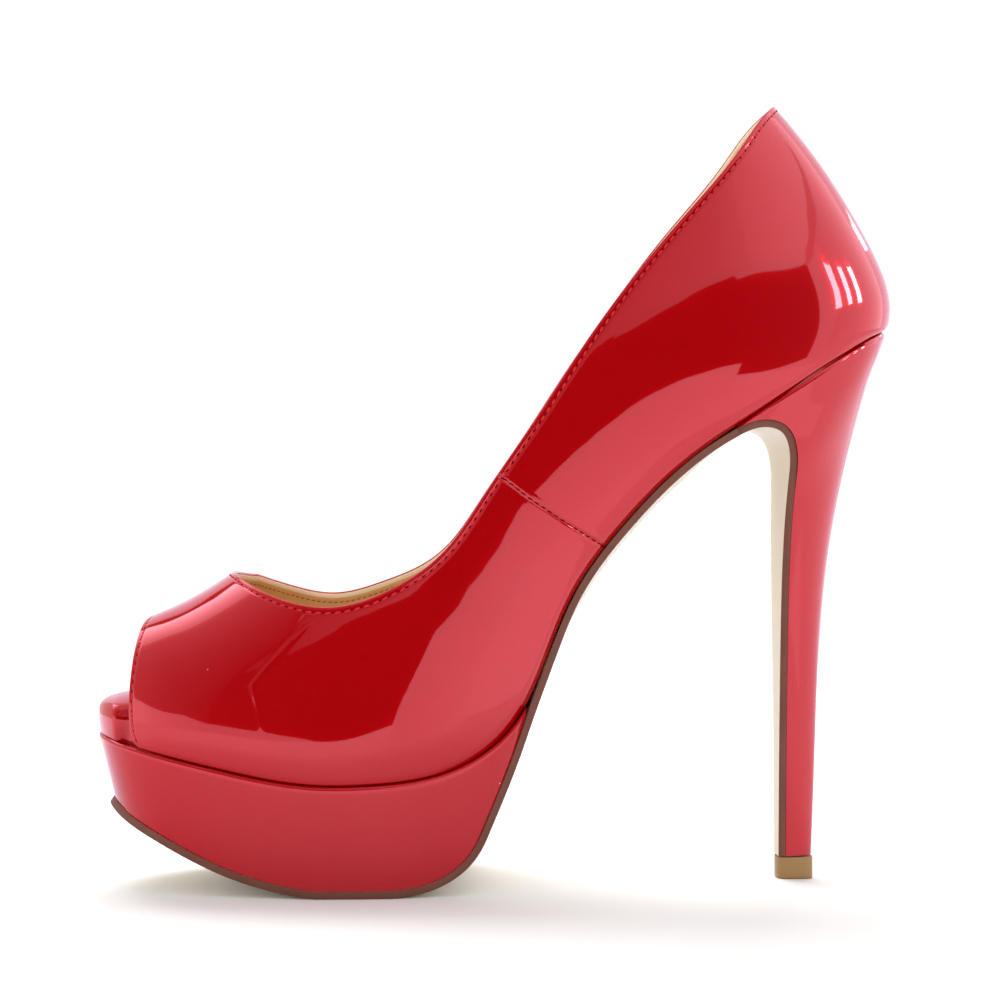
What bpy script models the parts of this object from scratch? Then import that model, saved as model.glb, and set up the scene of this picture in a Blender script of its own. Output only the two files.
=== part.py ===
"""Peep-toe platform pump for a right foot, with a wrapped platform and a covered stiletto heel.

Sizes are in millimetres and become metres where a mesh is made. The toe points to -X, the heel to +X, the
inner (medial) side of the foot to -Y, and the shoe stands on Z = 0.
"""

import math

import bmesh
import bpy
import numpy as np

MM = 0.001

# Thicknesses and clearances
WALL = 1.8
SOLE_THICK = 1.7
GAP = 0.3
WALL_CLEAR = 0.5
HEEL_CENTRE = -1.8

# The last, a row for each section from the toe tip to the back of the seat. x and z place the feather edge,
# where the upper meets the sole. lean tips the section towards the toe, in degrees. centre, medial and
# lateral are the section's middle and half-widths at the feather edge. flare is how much wider the section
# swells, and swell the height over which it does so. ridge and the two collars are heights above the feather
# edge: a collar that is higher than the ridge leaves the section closed over the toes.
LAST_COLUMNS = ("x", "z", "lean", "centre", "medial", "lateral", "flare", "swell", "ridge",
                "collar_medial", "collar_lateral")
LAST = {
    "tip": (-108.6, 41.8, 0.0, -3.8, 0.0, 0.0, 0.05, 18.0, 24.0, 72.0, 72.0),
    "toe_round": (-107.0, 41.4, 0.0, -3.7, 10.0, 10.0, 0.05, 18.0, 26.0, 71.0, 71.0),
    "toe": (-102.8, 40.3, 0.0, -3.5, 18.6, 18.8, 0.05, 18.0, 29.0, 68.5, 68.5),
    "peep": (-96.4, 38.7, -1.0, -3.1, 25.0, 25.8, 0.05, 18.0, 33.7, 64.5, 64.5),
    "toe_box": (-85.6, 36.2, 0.0, -2.3, 30.8, 31.8, 0.05, 18.0, 40.8, 58.5, 58.5),
    "throat": (-72.7, 33.4, 2.0, -1.6, 35.2, 36.4, 0.045, 18.0, 50.3, 53.6, 54.4),
    "vamp": (-59.7, 30.9, 5.0, -1.1, 38.2, 39.4, 0.04, 18.0, 60.0, 50.2, 52.4),
    "joint": (-47.2, 29.7, 8.5, -0.8, 39.8, 40.8, 0.04, 18.0, 69.0, 48.4, 50.6),
    "tread": (-34.4, 29.9, 13.0, -0.5, 39.9, 40.7, 0.05, 20.0, 77.0, 48.0, 49.6),
    "ball": (-15.7, 32.7, 20.0, -0.5, 37.9, 39.7, 0.1, 36.0, 84.0, 50.1, 51.2),
    "ball_back": (2.1, 43.5, 29.0, -0.6, 33.0, 36.4, 0.19, 50.0, 86.0, 48.6, 48.7),
    "bend": (12.1, 61.0, 36.0, -0.8, 29.0, 32.8, 0.24, 50.0, 82.0, 41.6, 41.0),
    "waist_front": (20.4, 80.3, 40.0, -1.1, 26.2, 30.0, 0.25, 45.0, 73.0, 36.6, 35.7),
    "waist": (33.1, 97.7, 42.0, -1.5, 25.0, 28.2, 0.22, 38.0, 71.0, 36.9, 35.9),
    "waist_back": (48.6, 113.5, 42.0, -1.7, 25.2, 27.4, 0.18, 32.0, 71.0, 41.4, 40.1),
    "shank": (65.6, 126.2, 39.0, HEEL_CENTRE, 25.9, 27.0, 0.15, 29.0, 74.0, 48.5, 47.3),
    "seat": (82.0, 137.1, 34.5, HEEL_CENTRE, 24.8, 25.5, 0.115, 21.0, 83.0, 55.3, 55.2),
    "seat_back": (95.0, 145.0, 30.5, HEEL_CENTRE, 20.0, 20.4, 0.12, 18.0, 94.0, 61.8, 62.0),
    "counter": (104.6, 150.0, 28.0, HEEL_CENTRE, 12.4, 12.5, 0.12, 18.0, 98.0, 68.0, 68.3),
    "back": (108.8, 152.0, 27.0, HEEL_CENTRE, 0.0, 0.0, 0.12, 18.0, 98.0, 69.9, 69.9),
}
FULLNESS = 2.3
BACK_HEIGHT = 69.9
BACK_BULGE = 6.7
BACK_REACH = 45.0
BACK_TUCK_POWER = 10
BACK_TOP_POWER = 3
PEEP_BOW = 2.8
THROAT_EVEN = 7.0

# The outer face of the outsole, a row for each step from the toe tip to the end of the platform's wedge, and
# from the lip of the heel down its front to the top piece. Between them it follows the feather edge.
SOLE_COLUMNS = ("x", "z", "centre", "medial", "lateral")
TREAD = {
    "tip": (-105.8, 22.5, -3.8, 0.0, 0.0),
    "toe_round": (-104.5, 21.6, -3.7, 8.4, 8.4),
    "toe": (-101.0, 19.4, -3.5, 16.6, 16.8),
    "toe_spring": (-94.0, 15.6, -3.0, 24.2, 24.9),
    "toe_box": (-84.0, 10.5, -2.2, 29.6, 30.6),
    "rocker": (-73.0, 5.7, -1.6, 33.6, 34.8),
    "vamp": (-61.0, 2.1, -1.1, 36.5, 37.7),
    "flat_front": (-49.0, 0.0, -0.8, 38.1, 39.1),
    "flat_back": (-29.0, 0.0, -0.5, 38.2, 39.5),
    "roll": (-19.0, 1.7, -0.5, 37.0, 38.9),
    "turn": (-11.4, 5.4, -0.5, 35.7, 38.0),
    "turn_up": (-6.3, 10.4, -0.5, 34.6, 37.2),
    "slope_low": (-2.5, 17.8, -0.5, 33.7, 36.5),
    "slope": (2.0, 28.4, -0.6, 32.6, 35.6),
    "slope_high": (5.9, 38.4, -0.7, 31.4, 34.8),
    "wedge_end": (8.6, 46.0, -0.7, 30.5, 34.1),
}
WAIST_ROWS = ("bend", "waist_front", "waist", "waist_back")
WAIST_TUCK = 0.5
SOLE_CAMBER = 2.4
INSOLE_CAMBER = 1.9
BREAST = {
    "lip": (64.6, 122.2, HEEL_CENTRE, 25.4, 26.5),
    "arch_top": (71.0, 124.4, HEEL_CENTRE, 25.0, 25.8),
    "arch_turn": (76.2, 123.1, HEEL_CENTRE, 24.2, 24.6),
    "breast_top": (78.6, 118.3, HEEL_CENTRE, 22.0, 22.2),
    "breast_flare": (78.9, 109.8, HEEL_CENTRE, 18.0, 18.0),
    "breast_high": (78.4, 98.8, HEEL_CENTRE, 14.2, 14.2),
    "breast": (78.1, 85.8, HEEL_CENTRE, 11.1, 11.1),
    "stem_high": (78.0, 67.5, HEEL_CENTRE, 8.5, 8.5),
    "stem": (78.0, 45.0, HEEL_CENTRE, 6.4, 6.4),
    "stem_low": (78.0, 24.0, HEEL_CENTRE, 5.2, 5.2),
    "stem_end": (78.0, 6.3, HEEL_CENTRE, 4.5, 4.5),
}

# The back line of the heel, a row opposite each row of its front
HEEL_COLUMNS = ("x", "z")
HEEL_BACK = {
    "lip": (108.4, 151.0),
    "arch_top": (106.7, 146.0),
    "arch_turn": (104.5, 140.6),
    "breast_top": (102.2, 133.4),
    "breast_flare": (99.1, 122.0),
    "breast_high": (95.7, 107.8),
    "breast": (92.4, 89.6),
    "stem_high": (90.2, 68.0),
    "stem": (89.1, 45.0),
    "stem_low": (88.4, 24.0),
    "stem_end": (87.7, 6.3),
}
HEEL_ROUND = 2.2
SEAT_FADE = 45.0

# Platform
PLATFORM_PROUD = 0.3
PLATFORM_ROUND = 1.2
PLATFORM_ROUND_FADE = 5.0
PLATFORM_TUCK = 0.4

# Insole, a row for each section from the bare toe to the back
INSOLE_COLUMNS = ("x", "z", "thick", "dome", "round")
INSOLE = {
    "tip": (-108.6, 0.0, 9.2, 1.4, 3.0),
    "peep": (-98.0, 0.0, 9.6, 2.7, 3.0),
    "toe_box": (-84.0, 0.0, 7.2, 1.2, 2.0),
    "tread": (-50.0, 0.0, 4.2, 0.0, 1.2),
    "waist": (20.0, 0.0, 3.2, 0.0, 1.0),
    "back": (108.8, 0.0, 3.0, -0.8, 1.0),
}
INSOLE_PROUD = 0.7
INSOLE_FORWARD = 0.4
INSOLE_TUCK = 1.6
INSOLE_TUCK_FROM = 6.4
INSOLE_EDGE_SHARE = 0.45
INSOLE_BACK_FADE = 25.0
INSOLE_BARE_X = (-102.8, -99.8)

# Top piece
TOP_PIECE_X = (77.7, 87.9)
TOP_PIECE_HALF = 4.9
TOP_PIECE_HIGH = 6.0
TOP_PIECE_EDGE = 0.5
TOP_PIECE_SQUARE = 3.5

# Faces
REAR_RIBS = 27
FEATHER_RIBS = 14
PEEP_RIBS = 9
WALL_ROWS = 11
SOLE_STEPS = (("tip", "flat_front", 14), ("flat_front", "flat_back", 2), ("flat_back", "slope_low", 8),
              ("slope_low", "wedge_end", 4), ("wedge_end", "lip", 15), ("lip", "breast_flare", 10),
              ("breast_flare", "stem_end", 9))
SOLE_ACROSS = np.linspace(-1.0, 1.0, 7)
INSOLE_STEPS = 44
INSOLE_EDGE_TURNS = np.radians((0.0, 35.0, 90.0))
HEEL_SIDES = 11
TOP_PIECE_SIDES = 24
TIP_HALF = 2.4
FINE = 4001
SHARP_EDGE = math.radians(40)

# Colour and roughness of each piece
FINISHES = {
    "upper": ((0.40, 0.004, 0.009), 0.12),
    "platform": ((0.40, 0.004, 0.009), 0.15),
    "insole": ((0.42, 0.006, 0.011), 0.18),
    "heel": ((0.40, 0.004, 0.009), 0.12),
    "outsole": ((0.82, 0.74, 0.60), 0.55),
    "top_piece": ((0.48, 0.30, 0.07), 0.45),
}


def spline(knots, values, at):
    """A cubic curve through the values at the knots, with no bend at its ends."""
    gaps = np.diff(knots)
    slopes = np.diff(values) / gaps
    count = len(knots)
    matrix = np.eye(count)
    right = np.zeros(count)
    for row in range(1, count - 1):
        matrix[row, row - 1:row + 2] = gaps[row - 1], 2.0 * (gaps[row - 1] + gaps[row]), gaps[row]
        right[row] = 6.0 * (slopes[row] - slopes[row - 1])
    bend = np.linalg.solve(matrix, right)
    low = np.clip(np.searchsorted(knots, at) - 1, 0, count - 2)
    gap = gaps[low]
    ahead = knots[low + 1] - at
    behind = at - knots[low]
    curve = (bend[low] * ahead ** 3 + bend[low + 1] * behind ** 3) / (6.0 * gap)
    curve = curve + (values[low] / gap - bend[low] * gap / 6.0) * ahead
    return curve + (values[low + 1] / gap - bend[low + 1] * gap / 6.0) * behind


class Sections:
    """A table of sections, read smoothly at any distance along its line of x and z."""

    def __init__(self, columns, rows):
        self.names = list(rows)
        self.columns = {name: np.array(column, float) for name, column in zip(columns, zip(*rows.values()))}
        steps = np.hypot(np.diff(self.columns["x"]), np.diff(self.columns["z"]))
        self.knots = np.concatenate(([0.0], np.cumsum(steps)))

    def station(self, name):
        """The distance along the line of a named row."""
        return self.knots[self.names.index(name)]

    def reach(self, x):
        """The distance along the line at which it reaches x."""
        along = np.linspace(0.0, self.knots[-1], FINE)
        return np.interp(x, self.at("x", along), along)

    def at(self, column, along):
        """A column's value at a distance along the line."""
        return spline(self.knots, self.columns[column], np.asarray(along, float))

    def half(self, side, along):
        """A side's half-width, read through its square so that an outline closes in a round end."""
        square = spline(self.knots, self.columns[side_name(side)] ** 2, np.asarray(along, float))
        return np.sqrt(np.maximum(square, 0.0))

    def first(self):
        """The distance of the first row of faces, where the round tip is already a little wide."""
        return TIP_HALF ** 2 / self.half(-1, 1.0) ** 2

    def height(self, along):
        """The line's height, which never passes below the floor."""
        return np.maximum(self.at("z", along), 0.0)

    def line(self, along, lift=0.0):
        """x and z on the line, or lifted off it towards the inside of the shoe."""
        step = 0.05
        run = self.at("x", along + step) - self.at("x", along - step)
        rise = self.height(along + step) - self.height(along - step)
        length = np.hypot(run, rise)
        return self.at("x", along) - lift * rise / length, self.height(along) + lift * run / length

    def across(self, along, sideways, lift):
        """Points beside the line's middle, at one distance along it."""
        x, z = self.line(np.full(len(sideways), along), lift)
        return np.stack((x, self.at("centre", along) + sideways, z), axis=-1)

    def camber(self, end, along):
        """How far the waist bows down, from 0 to 1, between the bend and the row that ends it."""
        rows = [self.station(name) for name in ("bend", "waist_front", "waist_back", end)]
        return np.interp(along, rows, (0.0, 1.0, 1.0, 0.0))


def side_name(side):
    """The table's column for a side of the foot: -1 is medial, 1 lateral."""
    return "medial" if side < 0 else "lateral"


def evenly(along, across, count):
    """The distances along a line that split an outline, its half-width given, into equal steps."""
    length = np.concatenate(([0.0], np.cumsum(np.hypot(np.diff(along), np.diff(across)))))
    return np.interp(np.linspace(0.0, length[-1], count + 1), length, along)


def make_sole_line():
    """The outsole's line: tread, then the waist under the feather edge, then the front of the heel."""
    rows = dict(TREAD)
    for name in WAIST_ROWS:
        along = last.station(name)
        x, z = last.line(along, -GAP - SOLE_THICK)
        medial = last.half(-1, along) - WAIST_TUCK
        lateral = last.half(1, along) - WAIST_TUCK
        rows[name] = (x, z, last.at("centre", along), medial, lateral)
    rows.update(BREAST)
    return Sections(SOLE_COLUMNS, rows)


def find_throat():
    """Where the collar line meets the ridge of the vamp."""
    along = np.linspace(last.station("toe_box"), last.station("vamp"), FINE)
    closed = last.at("collar_medial", along) >= last.at("ridge", along)
    return along[np.argmin(closed)]


last = Sections(LAST_COLUMNS, LAST)
sole = make_sole_line()
heel_back = Sections(HEEL_COLUMNS, HEEL_BACK)
board = Sections(INSOLE_COLUMNS, INSOLE)
BACK = last.station("back")
BALL = last.station("ball")
PEEP = last.station("peep")
THROAT = find_throat()


def new_object(name, points, faces):
    """A named object from points in millimetres, with its own material."""
    mesh = bpy.data.meshes.new(name)
    mesh.from_pydata((np.asarray(points) * MM).tolist(), [], faces)
    mesh.update()
    colour, roughness = FINISHES[name]
    material = bpy.data.materials.new(name)
    material.use_nodes = True
    shader = material.node_tree.nodes["Principled BSDF"]
    shader.inputs["Base Color"].default_value = (*colour, 1.0)
    shader.inputs["Roughness"].default_value = roughness
    shader.inputs["Metallic"].default_value = 0.0
    mesh.materials.append(material)
    mesh.shade_smooth()
    mesh.set_sharp_from_angle(angle=SHARP_EDGE)
    item = bpy.data.objects.new(name, mesh)
    bpy.context.collection.objects.link(item)
    item.parent = pump
    return item


def loft(name, loops):
    """A closed solid through loops of equal length. Both ends are closed by strips between the points that
    lie opposite each other, so that an end may be curved."""
    count = len(loops[0])
    faces = []
    for row in range(len(loops) - 1):
        start = row * count
        for point in range(count):
            beside = (point + 1) % count
            faces.append((start + point, start + beside, start + count + beside, start + count + point))
    for start in (0, (len(loops) - 1) * count):
        for point in range((count - 1) // 2):
            strip = (point, point + 1, count - 2 - point, count - 1 - point)
            faces.append(tuple(start + corner for corner in dict.fromkeys(strip)))
    item = new_object(name, np.concatenate(loops), faces)
    shell = bmesh.new()
    shell.from_mesh(item.data)
    bmesh.ops.recalc_face_normals(shell, faces=shell.faces)
    shell.to_mesh(item.data)
    shell.free()


def thick_sheet(name, grid, closed, thickness):
    """A sheet of rows of points, grown inwards from its outer face into a wall. A closed one joins its last
    row to its first."""
    wide = len(grid[0])
    faces = []
    for row in range(len(grid) - (0 if closed else 1)):
        here = row * wide
        beside = (row + 1) % len(grid) * wide
        for point in range(wide - 1):
            faces.append((here + point, beside + point, beside + point + 1, here + point + 1))
    item = new_object(name, np.concatenate(grid), faces)
    wall = item.modifiers.new("wall", "SOLIDIFY")
    wall.thickness = thickness * MM
    wall.offset = -1.0
    wall.use_rim = True


def last_face(along, climb, side):
    """Points on the outer face of the upper. along runs on the feather edge from the toe, and climb goes up
    the section from the feather edge, 0, to the ridge, 1."""
    ridge = last.at("ridge", along)
    flare = last.at("flare", along)
    lean = np.radians(last.at("lean", along))
    rise = ridge * np.sin(climb * math.pi / 2)
    arch = np.maximum(1.0 - (rise / ridge) ** FULLNESS, 0.0) ** (1.0 / FULLNESS)
    tuck = np.maximum(1.0 - rise / last.at("swell", along), 0.0) ** 3
    half = last.half(side, along) * ((1.0 + flare) * arch - flare * tuck)
    height = np.clip(rise / BACK_HEIGHT, 0.0, 1.0)
    near_back = np.clip(1.0 - (BACK - along) / BACK_REACH, 0.0, 1.0) ** 2
    bulge = (1.0 - (1.0 - height) ** BACK_TUCK_POWER) * (1.0 - height ** BACK_TOP_POWER)
    bulge = BACK_BULGE * near_back * bulge
    x = last.at("x", along) - rise * np.sin(lean) + bulge * np.cos(lean)
    z = last.at("z", along) + rise * np.cos(lean) + bulge * np.sin(lean)
    return np.stack((x, last.at("centre", along) + side * half, z), axis=-1)


def collar_climb(along, side):
    """How far up the section the collar is cut. Both sides meet at the middle of the throat."""
    medial = last.at("collar_medial", along)
    own = last.at("collar_" + side_name(side), along)
    collar = medial + (own - medial) * np.clip((along - THROAT) / THROAT_EVEN, 0.0, 1.0)
    share = np.clip(collar / last.at("ridge", along), 0.0, 1.0)
    return np.arcsin(share) * 2.0 / math.pi


def ribs(side):
    """The lines that run down the upper, from the back round one side to the middle of the throat: where
    each starts on the collar and where it ends on the feather edge or the peep edge."""
    dense = np.linspace(BACK, BALL, FINE)
    rear = evenly(dense, last.half(side, dense), REAR_RIBS)
    front = np.linspace(0.0, 1.0, FEATHER_RIBS + PEEP_RIBS + 1)[1:]
    top = np.concatenate((rear, BALL + (THROAT - BALL) * np.sin(front * math.pi / 2)))
    top_climb = collar_climb(top, side)
    top_climb[-1] = 1.0
    feather = np.linspace(BALL, PEEP, FEATHER_RIBS + 1)[1:]
    climb = np.linspace(0.0, 1.0, PEEP_RIBS + 1)[1:]
    peep = PEEP - PEEP_BOW * np.sin(math.pi * np.sqrt(climb))
    low = np.concatenate((rear, feather, peep))
    low_climb = np.concatenate((np.zeros(len(rear) + len(feather)), climb))
    return top, top_climb, low, low_climb


def make_upper():
    """One hollow wall, open at the collar, the peep toe and underneath."""
    share = np.linspace(0.0, 1.0, WALL_ROWS + 1)
    grid = []
    for side in (-1, 1):
        top, top_climb, low, low_climb = (end[:, None] for end in ribs(side))
        face = last_face(top + (low - top) * share, top_climb + (low_climb - top_climb) * share, side)
        grid.extend(face if side < 0 else face[-2:0:-1])
    thick_sheet("upper", grid, True, WALL)


def sole_stations(first, final):
    """The distances of the outsole's rows from one named row to another, which its neighbours share."""
    stations = [sole.first()]
    for start, end, steps in SOLE_STEPS:
        part = np.linspace(sole.station(start), sole.station(end), FINE)
        stations.extend(evenly(part, sole.half(-1, part), steps)[1:])
    stations = np.array(stations)
    kept = (stations > sole.station(first) - GAP) & (stations < sole.station(final) + GAP)
    return stations[kept]


def make_outsole():
    """A bent sheet from the toe tip under the platform, along the waist and down the front of the heel."""
    grid = []
    for along in sole_stations("tip", "stem_end"):
        halves = np.where(SOLE_ACROSS < 0, sole.half(-1, along), sole.half(1, along))
        bow = SOLE_CAMBER * sole.camber("lip", along) * (1.0 - SOLE_ACROSS ** 2)
        grid.append(sole.across(along, SOLE_ACROSS * halves, -bow)[::-1])
    thick_sheet("outsole", grid, False, SOLE_THICK)


def make_platform():
    """The block under the forefoot, from the feather edge down to the outsole, ending in a wedge."""
    lift = SOLE_THICK + GAP
    low = sole_stations("tip", "wedge_end")
    wedge = last.reach(sole.line(low[-1], lift)[0])
    top = np.interp(low, (low[0], sole.station("turn"), low[-1]), (last.first(), BALL, wedge))
    corner = PLATFORM_ROUND * (1.0 - math.sqrt(0.5))
    inset = np.array((0.0, corner, PLATFORM_ROUND))
    drop = np.array((PLATFORM_ROUND, corner, 0.0, 0.0, 0.0, 0.0, 0.0, corner, PLATFORM_ROUND))
    base = np.linspace(-1.0, 1.0, len(drop))
    loops = []
    for high, deep in zip(top, low):
        medial = last.half(-1, high) + PLATFORM_PROUD
        lateral = last.half(1, high) + PLATFORM_PROUD
        edge = inset * min(1.0, 0.5 * medial / PLATFORM_ROUND)
        sideways = np.concatenate((edge - medial, (-0.5 * medial, 0.0, 0.5 * lateral), lateral - edge[::-1]))
        fade = np.clip((wedge - high) / PLATFORM_ROUND_FADE, 0.0, 1.0)
        roof = last.across(high, sideways, -GAP - drop * fade)
        halves = np.where(base < 0, sole.half(-1, deep), sole.half(1, deep)) - PLATFORM_TUCK
        floor = sole.across(deep, base * halves, lift)
        loops.append(np.concatenate((roof, floor[::-1])))
    loft("platform", loops)


def bare_toe(along):
    """1 where the insole shows in front of the upper, 0 inside it."""
    share = (last.at("x", along) - INSOLE_BARE_X[0]) / (INSOLE_BARE_X[1] - INSOLE_BARE_X[0])
    share = np.clip(share, 0.0, 1.0)
    return 1.0 - share * share * (3.0 - 2.0 * share)


def insole_half(along, side):
    """The insole's half-width: inside the wall of the upper, and past the platform's edge at the bare toe."""
    inset = (WALL + WALL_CLEAR) * (1.0 - bare_toe(along)) - INSOLE_PROUD * bare_toe(along)
    back = np.clip(1.0 - (BACK - along) / INSOLE_BACK_FADE, 0.0, 1.0) ** 2
    return last.half(side, along + inset * back) - inset * (1.0 - back)


def make_insole():
    """The board under the foot, which shows as a thick wrapped edge in the open toe."""
    dense = np.linspace(last.first(), BACK - WALL - WALL_CLEAR - GAP, FINE)
    loops = []
    for along in evenly(dense, insole_half(dense, -1), INSOLE_STEPS):
        place = np.interp(last.at("x", along), board.columns["x"], board.knots)
        medial = insole_half(along, -1)
        lateral = insole_half(along, 1)
        radius = board.at("round", place)
        nose = max(0.0, 1.0 - (last.at("x", along) - LAST["tip"][0]) / radius)
        edge = min(radius, INSOLE_EDGE_SHARE * medial)
        bend = edge * (1.0 - np.cos(INSOLE_EDGE_TURNS))
        fall = edge * (1.0 - np.sin(INSOLE_EDGE_TURNS))
        sideways = np.concatenate((bend - medial, (-0.5 * medial, 0.0, 0.5 * lateral), lateral - bend[::-1]))
        share = np.where(sideways < 0, sideways / medial, sideways / lateral)
        crown = 1.0 - share ** 2
        lift = board.at("thick", place) + board.at("dome", place) * crown
        lift = lift - radius * (1.0 - math.sqrt(1.0 - nose ** 2))
        roof = last.across(along, sideways, lift - np.concatenate((fall, np.zeros(3), fall[::-1])))
        forward = last.at("x", along) - INSOLE_FORWARD
        roof[:, 0] += (forward - roof[:, 0]) * bare_toe(along)
        tuck = 1.0 - INSOLE_TUCK / max(medial, INSOLE_TUCK_FROM)
        bow = INSOLE_CAMBER * last.camber("shank", along) * crown
        loops.append(np.concatenate((roof, last.across(along, sideways * tuck, -bow)[::-1])))
    loft("insole", loops)


def make_heel():
    """The covered heel: its top fits the sloping seat, its front the outsole, and it thins to the top piece."""
    lift = SOLE_THICK + GAP
    stations = sole_stations("lip", "stem_end")
    fronts = np.array([sole.station(name) for name in HEEL_BACK])
    angle = np.linspace(0.0, math.pi / 2, HEEL_SIDES + 1)
    depth = np.sin(angle) ** (2.0 / HEEL_ROUND)
    width = np.maximum(np.cos(angle), 0.0) ** (2.0 / HEEL_ROUND)
    width[-1] = 0.0
    lip_x = sole.line(stations[0], lift)[0]
    seat = last.reach(lip_x + (LAST["back"][0] - lip_x) * depth)
    seat_x, seat_z = last.line(seat, -GAP)
    crown = seat_z - np.interp(seat_x, seat_x[[0, -1]], seat_z[[0, -1]])
    rows = [(stations[0], 1.0, seat_x, seat_z)]
    for along in stations:
        fade = max(0.0, 1.0 - (along - stations[0]) / SEAT_FADE) ** 2
        front_x, front_z = sole.line(along, lift)
        opposite = np.interp(along, fronts, heel_back.knots)
        x = front_x + (heel_back.at("x", opposite) - front_x) * depth
        z = front_z + (heel_back.at("z", opposite) - front_z) * depth + crown * fade
        rows.append((along, fade, x, z))
    loops = []
    for along, fade, x, z in rows:
        medial, lateral = (
            HEEL_CENTRE + side * (last.half(side, seat) * fade + sole.half(side, along) * width * (1.0 - fade))
            for side in (-1, 1)
        )
        loop = np.stack((x, medial, z), axis=-1)
        far = np.stack((x, lateral, z), axis=-1)
        loops.append(np.concatenate((loop, far[-2::-1])))
    loft("heel", loops)


def make_top_piece():
    """The plastic top piece that the heel walks on: a rounded square with a worn lower edge."""
    middle = 0.5 * (TOP_PIECE_X[0] + TOP_PIECE_X[1])
    reach = 0.5 * (TOP_PIECE_X[1] - TOP_PIECE_X[0])
    angle = (np.arange(TOP_PIECE_SIDES) + 0.5) * 2.0 * math.pi / TOP_PIECE_SIDES
    across = np.sign(np.cos(angle)) * np.abs(np.cos(angle)) ** (2.0 / TOP_PIECE_SQUARE)
    beside = np.sign(np.sin(angle)) * np.abs(np.sin(angle)) ** (2.0 / TOP_PIECE_SQUARE)
    loops = []
    for height, inset in ((0.0, TOP_PIECE_EDGE), (TOP_PIECE_EDGE, 0.0), (TOP_PIECE_HIGH, 0.0)):
        x = middle + across * (reach - inset)
        y = HEEL_CENTRE + beside * (TOP_PIECE_HALF - inset)
        loops.append(np.stack((x, y, np.full(TOP_PIECE_SIDES, height)), axis=-1))
    loft("top_piece", loops)


for old in list(bpy.data.objects):
    bpy.data.objects.remove(old, do_unlink=True)
pump = bpy.data.objects.new("pump", None)
bpy.context.collection.objects.link(pump)
make_upper()
make_platform()
make_insole()
make_outsole()
make_heel()
make_top_piece()
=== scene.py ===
"""How the pump looks: smooth pieces, patent leather, lining, stitches, seam and creases, in a white studio.

Sizes are in millimetres and become metres where a mesh is made. The toe points to -X, the heel to +X, the
inner (medial) side of the foot to -Y, and the shoe stands on Z = 0.
"""

import math

import bpy
import numpy as np
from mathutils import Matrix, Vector


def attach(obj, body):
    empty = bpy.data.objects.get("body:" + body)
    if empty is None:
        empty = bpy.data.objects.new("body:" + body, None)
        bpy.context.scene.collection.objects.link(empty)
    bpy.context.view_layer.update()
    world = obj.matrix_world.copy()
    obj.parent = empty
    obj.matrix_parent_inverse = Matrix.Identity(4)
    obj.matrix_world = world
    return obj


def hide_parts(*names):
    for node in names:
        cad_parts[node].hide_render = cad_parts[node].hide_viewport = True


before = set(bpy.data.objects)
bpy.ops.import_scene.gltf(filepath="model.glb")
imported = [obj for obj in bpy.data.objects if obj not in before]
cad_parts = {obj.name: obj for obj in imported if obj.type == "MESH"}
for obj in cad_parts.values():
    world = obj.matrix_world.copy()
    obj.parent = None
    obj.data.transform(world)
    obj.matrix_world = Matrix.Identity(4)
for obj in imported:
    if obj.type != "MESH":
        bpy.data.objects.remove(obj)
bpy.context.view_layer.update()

MM = 0.001

# Thicknesses and clearances
WALL = 1.8
LEATHER_EDGE = 0.5
SOLE_THICK = 1.7
GAP = 0.3
WALL_CLEAR = 0.5
HEEL_CENTRE = -1.8

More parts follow.
